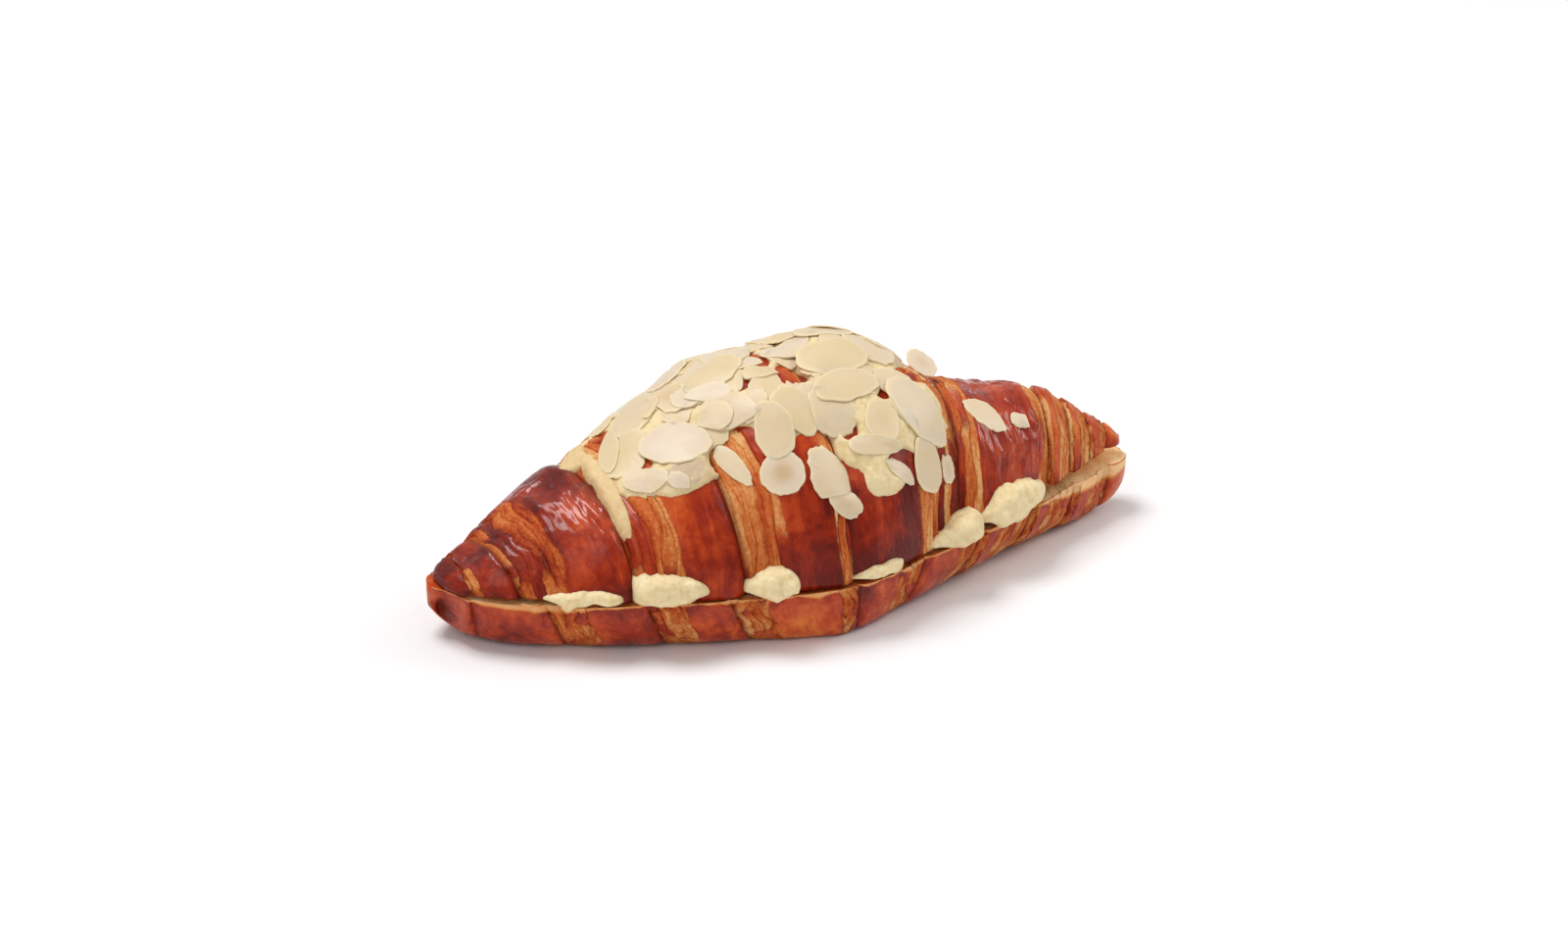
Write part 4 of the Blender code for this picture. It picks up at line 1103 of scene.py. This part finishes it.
def scattered_slices(count, rng):
    """Rows of further slices over the crest and down the back: seeded random places inside the cream,
    kept apart from each other. The places drawn are a fixed number, so there may be fewer than count."""
    found = []
    xs, turns = rng.uniform(*SCATTER_X, 900), rng.uniform(*SCATTER_TURN, 900)
    for x, turn, inside in zip(xs, turns, cream_field(xs, np.radians(turns))[0]):
        if len(found) == count:
            break
        over_crest = turn < BACK_TURN
        here = spot(x, math.radians(turn))[0]
        apart = all(np.linalg.norm(here - other) > BETWEEN_SLICES for other, _ in found)
        well_in = inside > (0.26 if over_crest else 0.03) and (-0.034 < x < 0.022 or turn > 122)
        if well_in and apart:
            length = rng.uniform(0.0070, 0.0105) if over_crest else rng.uniform(0.0095, 0.0150)
            width = length * rng.uniform(0.50, 0.85)
            found.append((here, (x, turn, length, width, rng.uniform(0, 360), rng.uniform(0, 0.4), 2.1)))
    return [row for _, row in found]


# Shader nodes


def srgb(red, green, blue):
    """Scene-linear colour of an 8-bit screen colour."""
    shares = [value / 255 for value in (red, green, blue)]
    linear = [share / 12.92 if share <= 0.04045 else ((share + 0.055) / 1.055) ** 2.4 for share in shares]
    return (*linear, 1.0)


def connect(tree, node, inputs):
    """Fills a node's inputs. An input given as a socket is linked, and any other is set."""
    for key, value in dict(inputs).items():
        if isinstance(value, bpy.types.NodeSocket):
            tree.links.new(value, node.inputs[key])
        else:
            node.inputs[key].default_value = value
    return node


def add(tree, kind, inputs=(), **settings):
    node = tree.nodes.new("ShaderNode" + kind)
    for key, value in settings.items():
        setattr(node, key, value)
    return connect(tree, node, inputs)


def maths(tree, operation, a, b=0.0, clamp=False):
    return add(tree, "Math", {0: a, 1: b}, operation=operation, use_clamp=clamp).outputs[0]


def plus(tree, a, b, clamp=False):
    return maths(tree, "ADD", a, b, clamp)


def times(tree, a, b):
    return maths(tree, "MULTIPLY", a, b)


def swayed(tree, value, pattern, amount, clamp=False):
    """Value moved up and down by a pattern that runs from 0 to 1."""
    return plus(tree, value, times(tree, maths(tree, "SUBTRACT", pattern, 0.5), amount), clamp)


def blend(tree, factor, a, b):
    """Colour a turning into colour b as factor goes from 0 to 1."""
    return add(tree, "Mix", {0: factor, 6: a, 7: b}, data_type="RGBA").outputs[2]


def ramp(tree, factor, stops):
    """Colour at factor between (position, colour) stops."""
    node = add(tree, "ValToRGB", {"Fac": factor})
    elements = node.color_ramp.elements
    while len(elements) < len(stops):
        elements.new(0.5)
    for element, (position, colour) in zip(elements, stops):
        element.position = position
        element.color = colour
    return node.outputs["Color"]


def speckle(tree, vector, scale, detail=3.0, roughness=0.5, distortion=0.0):
    inputs = {"Vector": vector, "Scale": scale, "Detail": detail}
    inputs.update({"Roughness": roughness, "Distortion": distortion})
    return add(tree, "TexNoise", inputs).outputs["Fac"]


def stretch(tree, vector, scale):
    return add(tree, "Mapping", {"Vector": vector, "Scale": scale}).outputs["Vector"]


def between(tree, value, low, high, to_low=0.0, to_high=1.0):
    """From to_low, where value is low or less, smoothly to to_high, where it is high or more."""
    inputs = {"Value": value, "From Min": low, "From Max": high, "To Min": to_low, "To Max": to_high}
    return add(tree, "MapRange", inputs, interpolation_type="SMOOTHSTEP").outputs["Result"]


def value_of(tree, name):
    return add(tree, "Attribute", attribute_name=name).outputs["Fac"]


def node_group(name, inputs, outputs):
    """An empty shader node group, with its input and output nodes."""
    group = bpy.data.node_groups.new(name, "ShaderNodeTree")
    for label, kind in inputs:
        group.interface.new_socket(label, in_out="INPUT", socket_type="NodeSocket" + kind)
    for label, kind in outputs:
        group.interface.new_socket(label, in_out="OUTPUT", socket_type="NodeSocket" + kind)
    return group, group.nodes.new("NodeGroupInput"), group.nodes.new("NodeGroupOutput")


def use_group(tree, name, build, inputs):
    """Places a shared node group in a material, and builds it the first time."""
    node = tree.nodes.new("ShaderNodeGroup")
    node.node_tree = bpy.data.node_groups.get(name) or build(name)
    return connect(tree, node, inputs).outputs


def glaze_group(name):
    """Egg-washed crust: from orange to nearly black brown as it bakes, mottled at three scales, and
    pulled into streaks and thin creases along the seams, the creases a little darker as painted shade."""
    group, source, sink = node_group(
        name,
        [("Place", "Vector"), ("Skin", "Vector"), ("Bake", "Float")],
        [("Color", "Color"), ("Roughness", "Float"), ("Height", "Float"), ("Mottle", "Float")],
    )
    place = source.outputs["Place"]
    along_seams = stretch(group, source.outputs["Skin"], (3.6, 0.55, 1.0))
    pulled = speckle(group, along_seams, 1.0, 3.0, 0.5, 0.35)
    off_line = maths(group, "ABSOLUTE", maths(group, "SUBTRACT", pulled, 0.5))
    crease_and_shade = between(group, off_line, 0.0, 0.035, 1.0, 0.0)
    broad = speckle(group, place, 130.0, 4.0, 0.6, 0.6)
    middle = speckle(group, place, 520.0, 4.0, 0.65, 0.3)
    fine = speckle(group, place, 2600.0, 2.0, 0.6)
    bake = source.outputs["Bake"]
    for pattern, amount in ((broad, 0.9), (middle, 0.50), (fine, 0.12), (pulled, 0.45)):
        bake = swayed(group, bake, pattern, amount)
    # Darker along the thin creases: painted shade.
    bake = plus(group, bake, times(group, crease_and_shade, 0.07), clamp=True)
    stops = (
        (0.00, srgb(222, 124, 54)),
        (0.25, srgb(206, 92, 36)),
        (0.45, srgb(184, 64, 22)),
        (0.65, srgb(156, 42, 12)),
        (0.85, srgb(126, 26, 6)),
        (1.00, srgb(96, 18, 6)),
    )
    height = plus(group, times(group, middle, 0.7), times(group, fine, 0.25))
    height = plus(group, height, times(group, pulled, 3.2))
    height = maths(group, "SUBTRACT", height, times(group, crease_and_shade, 0.30))
    roughness = between(group, middle, 0.3, 0.75, 0.20, 0.46)
    colour = ramp(group, bake, stops)
    outputs = {"Color": colour, "Roughness": roughness, "Height": height, "Mottle": middle}
    connect(group, sink, outputs)
    return group


def layer_group(name):
    """Cut layers of dough: pale and brown threads that run along the layers, with open grain."""
    group, source, sink = node_group(
        name,
        [("Skin", "Vector"), ("Place", "Vector"), ("Tone", "Float")],
        [("Color", "Color"), ("Height", "Float")],
    )
    skin = source.outputs["Skin"]
    threads = speckle(group, stretch(group, skin, (12.0, 3.0, 1.0)), 1.0, 4.0, 0.6, 0.6)
    hairs = speckle(group, stretch(group, skin, (40.0, 18.0, 1.0)), 1.0, 3.0, 0.7, 0.3)
    grain = speckle(group, source.outputs["Place"], 1150.0, 4.0, 0.75)
    tone = swayed(group, source.outputs["Tone"], threads, 0.60)
    tone = swayed(group, tone, hairs, 0.30)
    tone = swayed(group, tone, grain, 0.95, clamp=True)
    stops = (
        (0.00, srgb(146, 42, 12)),
        (0.25, srgb(186, 76, 28)),
        (0.50, srgb(208, 106, 46)),
        (0.75, srgb(224, 142, 76)),
        (1.00, srgb(240, 186, 122)),
    )
    height = plus(group, times(group, threads, 0.7), times(group, hairs, 0.5))
    height = plus(group, height, times(group, grain, 0.45))
    connect(group, sink, {"Color": ramp(group, tone, stops), "Height": height})
    return group


def crumb_group(name):
    """Grain of crumb and of baked cream: pores of a given size, and a slow change of colour between
    two tints."""
    group, source, sink = node_group(
        name,
        [("Place", "Vector"), ("Scale", "Float"), ("Dark", "Color"), ("Pale", "Color")],
        [("Color", "Color"), ("Height", "Float")],
    )
    place = source.outputs["Place"]
    pores = speckle(group, place, source.outputs["Scale"], 4.0, 0.62)
    slow = speckle(group, place, 240.0, 3.0, 0.5)
    factor = between(group, plus(group, times(group, pores, 0.6), times(group, slow, 0.4)), 0.32, 0.62)
    colour = blend(group, factor, source.outputs["Dark"], source.outputs["Pale"])
    connect(group, sink, {"Color": colour, "Height": pores})
    return group


def new_material(name):
    """A material with its tree, its shader and Object coordinates."""
    material = bpy.data.materials.new(name)
    material.use_nodes = True
    tree = material.node_tree
    return material, tree, tree.nodes["Principled BSDF"], add(tree, "TexCoord").outputs["Object"]


def feed(tree, shader, colour, roughness, height, distance):
    """Connects a material's colour, roughness and relief to its shader."""
    bump = add(tree, "Bump", {"Height": height, "Distance": distance, "Strength": 1.0})
    inputs = {"Base Color": colour, "Roughness": roughness, "Normal": bump.outputs["Normal"]}
    connect(tree, shader, inputs)


def crust_material(name, settings):
    """Crust: glossy glaze on the wraps, dull layers in the bands, grooves darkened as painted shade, and
    crumb with a toasted edge on the cut face."""
    material, tree, shader, place = new_material(name)
    skin = add(tree, "Attribute", attribute_name="skin").outputs["Vector"]
    on_skin = {"Place": place, "Skin": skin}
    glaze = use_group(tree, "Glaze", glaze_group, {**on_skin, "Bake": value_of(tree, "bake")})
    layer = use_group(tree, "Dough layers", layer_group, {**on_skin, "Tone": value_of(tree, "tone")})
    grain = {"Place": place, "Scale": 900.0, "Dark": srgb(250, 190, 124), "Pale": srgb(255, 224, 172)}
    crumb = use_group(tree, "Crumb", crumb_group, grain)
    groove, inner = value_of(tree, "groove"), value_of(tree, "crumb")
    ragged = swayed(tree, value_of(tree, "band"), glaze["Mottle"], 0.9)
    band = times(tree, between(tree, ragged, 0.25, 0.75), settings.layer_show)
    colour = blend(tree, band, glaze["Color"], layer["Color"])
    # Painted shade: the colour darkens deep in seams and crevices.
    colour = blend(tree, times(tree, groove, 0.65), colour, (*settings.groove_shade_colour, 1))
    toasted = blend(tree, between(tree, inner, 0.35, 1.0), srgb(214, 126, 56), crumb["Color"])
    colour = blend(tree, between(tree, inner, 0.0, 0.4), colour, toasted)
    rough = maths(tree, "MAXIMUM", glaze["Roughness"], times(tree, band, 0.62))
    rough = maths(tree, "MAXIMUM", rough, times(tree, inner, 0.8))
    height = times(tree, glaze["Height"], maths(tree, "SUBTRACT", 1.0, inner))
    height = plus(tree, height, times(tree, band, times(tree, layer["Height"], 2.2)))
    height = plus(tree, height, times(tree, inner, times(tree, crumb["Height"], 1.8)))
    feed(tree, shader, colour, rough, height, 0.00016)
    dull = maths(tree, "MAXIMUM", maths(tree, "MAXIMUM", band, inner), groove)
    coat = maths(tree, "SUBTRACT", value_of(tree, "shine"), dull, clamp=True)
    gloss = {"Coat Weight": coat, "Coat Roughness": 0.15, "Coat IOR": 1.45, "Specular IOR Level": 0.16}
    connect(tree, shader, gloss)
    return material


def soften(tree, shader, weight, radius, scale):
    """Light that passes a little way through a food."""
    depths = {"Subsurface Weight": weight, "Subsurface Radius": radius, "Subsurface Scale": scale}
    connect(tree, shader, depths)


def cream_material(name, settings, baked=0.0):
    """Baked almond cream: pale and grainy, browner where it is thin and, with baked, all over, and
    with a dull sugary glaze where the tint says."""
    material, tree, shader, place = new_material(name)
    colours = {"Dark": (*settings.dark, 1), "Pale": (*settings.pale, 1)}
    grain = use_group(tree, "Crumb", crumb_group, {"Place": place, "Scale": 750.0, **colours})
    thin = between(tree, value_of(tree, "thin"), 0.55, 1.0)
    brown = maths(tree, "MAXIMUM", times(tree, thin, 0.45), baked)
    colour = blend(tree, brown, grain["Color"], srgb(206, 160, 96))
    glaze = between(tree, times(tree, value_of(tree, "tint"), grain["Height"]), 0.30, 0.48)
    colour = blend(tree, times(tree, glaze, 0.55), colour, srgb(176, 148, 134))
    feed(tree, shader, colour, 0.55, grain["Height"], 0.00030)
    soften(tree, shader, 0.25, (1.0, 0.6, 0.3), 0.0012)
    return material


def almond_material(name, settings):
    """Blanched almond: ivory to cream from slice to slice and in slow clouds, browner in the middle of
    some slices, paler at the rim as painted light on the thin edge, with a fine grain and satin finish."""
    material, tree, shader, place = new_material(name)
    rim = value_of(tree, "rim")
    cloud = speckle(tree, place, 200.0, 2.0, 0.5)
    grain = speckle(tree, place, 2200.0, 3.0, 0.6)
    mixed = swayed(tree, value_of(tree, "tint"), cloud, 1.2, clamp=True)
    colour = blend(tree, mixed, (*settings.ivory, 1), (*settings.cream, 1))
    middle = times(tree, between(tree, rim, 0.0, 0.75, 1.0, 0.0), value_of(tree, "core"))
    colour = blend(tree, middle, colour, (*settings.core, 1))
    # Paler towards and over the rim: painted light on the thin edge.
    colour = blend(tree, between(tree, rim, 0.80, 1.0, 0.0, 0.60), colour, srgb(240, 220, 178))
    height = plus(tree, cloud, times(tree, grain, 0.25))
    feed(tree, shader, colour, 0.45, height, 0.00010)
    soften(tree, shader, 0.30, (1.0, 0.85, 0.6), 0.0010)
    return material


# Settings


class CroissantCrust(bpy.types.PropertyGroup):
    """Looks of the crust of both halves."""

    # Painted shade colour deep in the seams and crevices.
    groove_shade_colour: bpy.props.FloatVectorProperty(
        name="Groove",
        description="Colour deep in the seams",
        default=srgb(112, 34, 10)[:3],
        subtype="COLOR",
        min=0,
        max=1,
    )
    layer_show: bpy.props.FloatProperty(
        name="Layers",
        description="How much of the pale layers shows in the bands",
        default=0.92,
        subtype="FACTOR",
        min=0,
        max=1,
    )


class CroissantCream(bpy.types.PropertyGroup):
    """Colours of the almond cream."""

    dark: bpy.props.FloatVectorProperty(
        name="Shaded",
        description="Colour in the pores",
        default=srgb(228, 202, 146)[:3],
        subtype="COLOR",
        min=0,
        max=1,
    )
    pale: bpy.props.FloatVectorProperty(
        name="Pale",
        description="Main colour",
        default=srgb(244, 226, 180)[:3],
        subtype="COLOR",
        min=0,
        max=1,
    )


class CroissantAlmonds(bpy.types.PropertyGroup):
    """Sizes and colours of the sliced almonds."""

    thickness: bpy.props.FloatProperty(
        name="Thickness",
        description="Thickness of a slice",
        default=0.00038,
        unit="LENGTH",
        min=0.0003,
        max=0.003,
    )
    sink: bpy.props.FloatProperty(
        name="Sink",
        description="How deep a slice lies in the cream",
        default=0.0002,
        unit="LENGTH",
        min=0,
        max=0.003,
    )
    scattered: bpy.props.IntProperty(
        name="Scattered",
        description="Largest number of slices spread over the crest and the back at random",
        default=60,
        min=0,
        max=100,
    )
    seed: bpy.props.IntProperty(
        name="Seed",
        description="Start of the random draws",
        default=5,
        min=0,
    )
    ivory: bpy.props.FloatVectorProperty(
        name="Ivory",
        description="Palest slices",
        default=srgb(226, 205, 180)[:3],
        subtype="COLOR",
        min=0,
        max=1,
    )
    cream: bpy.props.FloatVectorProperty(
        name="Cream",
        description="Yellowest slices",
        default=srgb(224, 199, 156)[:3],
        subtype="COLOR",
        min=0,
        max=1,
    )
    core: bpy.props.FloatVectorProperty(
        name="Core",
        description="Middle of some slices",
        default=srgb(202, 164, 118)[:3],
        subtype="COLOR",
        min=0,
        max=1,
    )


class CroissantStage(bpy.types.PropertyGroup):
    """Camera, floor and light."""

    azimuth: bpy.props.FloatProperty(
        name="Azimuth",
        description="Side the camera looks from",
        default=math.radians(-24),
        subtype="ANGLE",
    )
    elevation: bpy.props.FloatProperty(
        name="Elevation",
        description="Height of the camera over the horizon",
        default=math.radians(25),
        subtype="ANGLE",
    )
    distance: bpy.props.FloatProperty(
        name="Distance",
        description="From the camera to its target",
        default=1.2,
        unit="LENGTH",
        min=0.2,
        max=5,
    )
    lens: bpy.props.FloatProperty(
        name="Lens",
        description="Focal length",
        default=131.6,
        unit="CAMERA",
        min=20,
        max=300,
    )
    key_power: bpy.props.FloatProperty(
        name="Key light",
        description="Power of the soft light overhead, which the two side lights follow",
        default=7.0,
        unit="POWER",
        min=0,
        max=100,
    )
    fill: bpy.props.FloatProperty(
        name="Fill light",
        description="Strength of the light from all round",
        default=0.42,
        min=0,
        max=5,
    )


# Operators


class CROISSANT_OT_lid(bpy.types.Operator):
    """Bake the lid: the upper half of the roll"""

    bl_idname = "croissant.lid"
    bl_label = "Lid"

    def execute(self, context):
        rings, masks = lid_rings()
        tips = [(side * LID_HALF, 0, float(lid_edge(side * LID_HALF)) + LID_TIP / 2) for side in (-1, 1)]
        masks = {name: mask[:, ::-1] for name, mask in masks.items()}
        obj = add_skins("lid_crust", [(rings[:, ::-1], *tips, masks)])
        crust = crust_material("Lid crust", context.scene.croissant_crust)
        dress(obj, crust, "lid_crust", "croissant_lid")
        return {"FINISHED"}


class CROISSANT_OT_lower_half(bpy.types.Operator):
    """Bake the lower half of the roll"""

    bl_idname = "croissant.lower_half"
    bl_label = "Lower half"

    def execute(self, context):
        rings, masks = lower_rings()
        tips = [(side * HALF, 0, CUT * 0.7) for side in (-1, 1)]
        obj = add_skins("lower_crust", [(rings, *tips, masks)])
        crust = crust_material("Lower crust", context.scene.croissant_crust)
        dress(obj, crust, "lower_crust", "croissant_lower_half")
        return {"FINISHED"}


class CROISSANT_OT_filling(bpy.types.Operator):
    """Fill the cut with almond cream, squeezed out at the edge"""

    bl_idname = "croissant.filling"
    bl_label = "Filling"

    def execute(self, context):
        slab = slab_rings()
        end = SLAB_HALF_LENGTH + SLAB_TIP
        tips = [(side * end, 0, float(lid_edge(SLAB_HALF_LENGTH))) for side in (-1, 1)]
        flat = {"thin": np.zeros(slab.shape[:2]), "tint": np.zeros(slab.shape[:2])}
        skins = [(slab, *tips, flat)] + [squeezed_skin(number, row) for number, row in enumerate(SQUEEZED)]
        obj = add_skins("filling_cream", skins)
        cream = cream_material("Filling cream", context.scene.croissant_cream)
        dress(obj, cream, "almond_cream", "almond_cream_filling")
        return {"FINISHED"}


class CROISSANT_OT_topping(bpy.types.Operator):
    """Spread the cream on the lid"""

    bl_idname = "croissant.topping"
    bl_label = "Topping cream"

    def execute(self, context):
        obj = add_skins("topping_cream", [cream_skin()])
        cream = cream_material("Topping cream", context.scene.croissant_cream, 0.12)
        dress(obj, cream, "almonds_in_cream", "almond_topping")
        return {"FINISHED"}


class CROISSANT_OT_almonds(bpy.types.Operator):
    """Lay the sliced almonds on the cream, one on the other"""

    bl_idname = "croissant.almonds"
    bl_label = "Sliced almonds"

    def execute(self, context):
        settings = context.scene.croissant_almonds
        rng = np.random.default_rng(settings.seed)
        bed = Bed([tree_of("lid_crust"), tree_of("topping_cream")])
        skins = []
        for row in (*scattered_slices(settings.scattered, rng), *PLACED_SLICES):
            sink = settings.sink if row[0] < LOOSE_FROM_X else LOOSE_SINK
            core = 0.85 if row[:2] == TAN_SLICE else 0.5 * rng.uniform(0, 1) ** 3
            slope = RAISE if row[:2] == RAISED_SLICE else 0.0
            skin = slice_skin(bed, row, rng, settings.thickness, sink, core, slope)
            bed.trees.append(skin_tree(skin))
            skins.append(skin)
        obj = add_skins("sliced_almonds", skins)
        dress(obj, almond_material("Almond", settings), "almonds_in_cream")
        return {"FINISHED"}


class CROISSANT_OT_stage(bpy.types.Operator):
    """Set the floor, the lights and the camera"""

    bl_idname = "croissant.stage"
    bl_label = "Stage"

    def execute(self, context):
        scene, settings = context.scene, context.scene.croissant_stage
        corners = [(-FLOOR, -FLOOR, 0), (FLOOR, -FLOOR, 0), (FLOOR, FLOOR, 0), (-FLOOR, FLOOR, 0)]
        mesh = bpy.data.meshes.new("floor")
        mesh.from_pydata(corners, [], [(0, 1, 2, 3)])
        floor = bpy.data.objects.new("floor", mesh)
        scene.collection.objects.link(floor)
        paper, tree, shader, _ = new_material("Floor")
        connect(tree, shader, {"Base Color": (0.92, 0.92, 0.92, 1), "Roughness": 0.9})
        mesh.materials.append(paper)

        target = Vector((0, 0, TARGET_HEIGHT))
        a, e = settings.azimuth, settings.elevation
        back = Vector((math.sin(a) * math.cos(e), -math.cos(a) * math.cos(e), math.sin(e)))
        camera = bpy.data.objects.new("camera", bpy.data.cameras.new("camera"))
        camera.data.lens = settings.lens
        camera.data.sensor_width = SENSOR_WIDTH
        camera.data.clip_start = 0.01
        camera.location = target + back * settings.distance
        camera.rotation_euler = back.to_track_quat("Z", "Y").to_euler()
        scene.collection.objects.link(camera)
        scene.camera = camera

        for name, place, size, share in LIGHTS:
            light = bpy.data.objects.new(name, bpy.data.lights.new(name, "AREA"))
            light.data.size = size
            light.data.energy = settings.key_power * share
            light.location = place
            light.rotation_euler = (Vector(place) - target).to_track_quat("Z", "Y").to_euler()
            scene.collection.objects.link(light)
        world = bpy.data.worlds.new("studio")
        world.use_nodes = True
        sky = {"Color": (1, 1, 1, 1), "Strength": settings.fill}
        connect(world.node_tree, world.node_tree.nodes["Background"], sky)
        scene.world = world
        scene.view_settings.view_transform = "Standard"
        return {"FINISHED"}


class CROISSANT_PT_build(bpy.types.Panel):
    """Buttons and settings of the croissant"""

    bl_idname = "CROISSANT_PT_build"
    bl_label = "Almond croissant"
    bl_space_type = "VIEW_3D"
    bl_region_type = "UI"
    bl_category = "Croissant"

    def draw(self, context):
        for operator in OPERATORS:
            self.layout.operator(operator.bl_idname)
        for name in SETTINGS:
            group = getattr(context.scene, name)
            box = self.layout.box()
            for prop in group.bl_rna.properties:
                if not prop.is_readonly and prop.identifier != "name":
                    box.prop(group, prop.identifier)


OPERATORS = (
    CROISSANT_OT_lid,
    CROISSANT_OT_lower_half,
    CROISSANT_OT_filling,
    CROISSANT_OT_topping,
    CROISSANT_OT_almonds,
    CROISSANT_OT_stage,
)
SETTINGS = {
    "croissant_crust": CroissantCrust,
    "croissant_cream": CroissantCream,
    "croissant_almonds": CroissantAlmonds,
    "croissant_stage": CroissantStage,
}


def register():
    for kind in (*SETTINGS.values(), *OPERATORS, CROISSANT_PT_build):
        bpy.utils.register_class(kind)
    for name, kind in SETTINGS.items():
        setattr(bpy.types.Scene, name, bpy.props.PointerProperty(type=kind))


def unregister():
    for name in SETTINGS:
        delattr(bpy.types.Scene, name)
    for kind in reversed((*SETTINGS.values(), *OPERATORS, CROISSANT_PT_build)):
        bpy.utils.unregister_class(kind)


def main():
    """Builds everything in order."""
    register()
    bpy.ops.croissant.lid()
    bpy.ops.croissant.lower_half()
    bpy.ops.croissant.filling()
    bpy.ops.croissant.topping()
    bpy.ops.croissant.almonds()
    bpy.ops.croissant.stage()


if __name__ == "__main__":
    main()
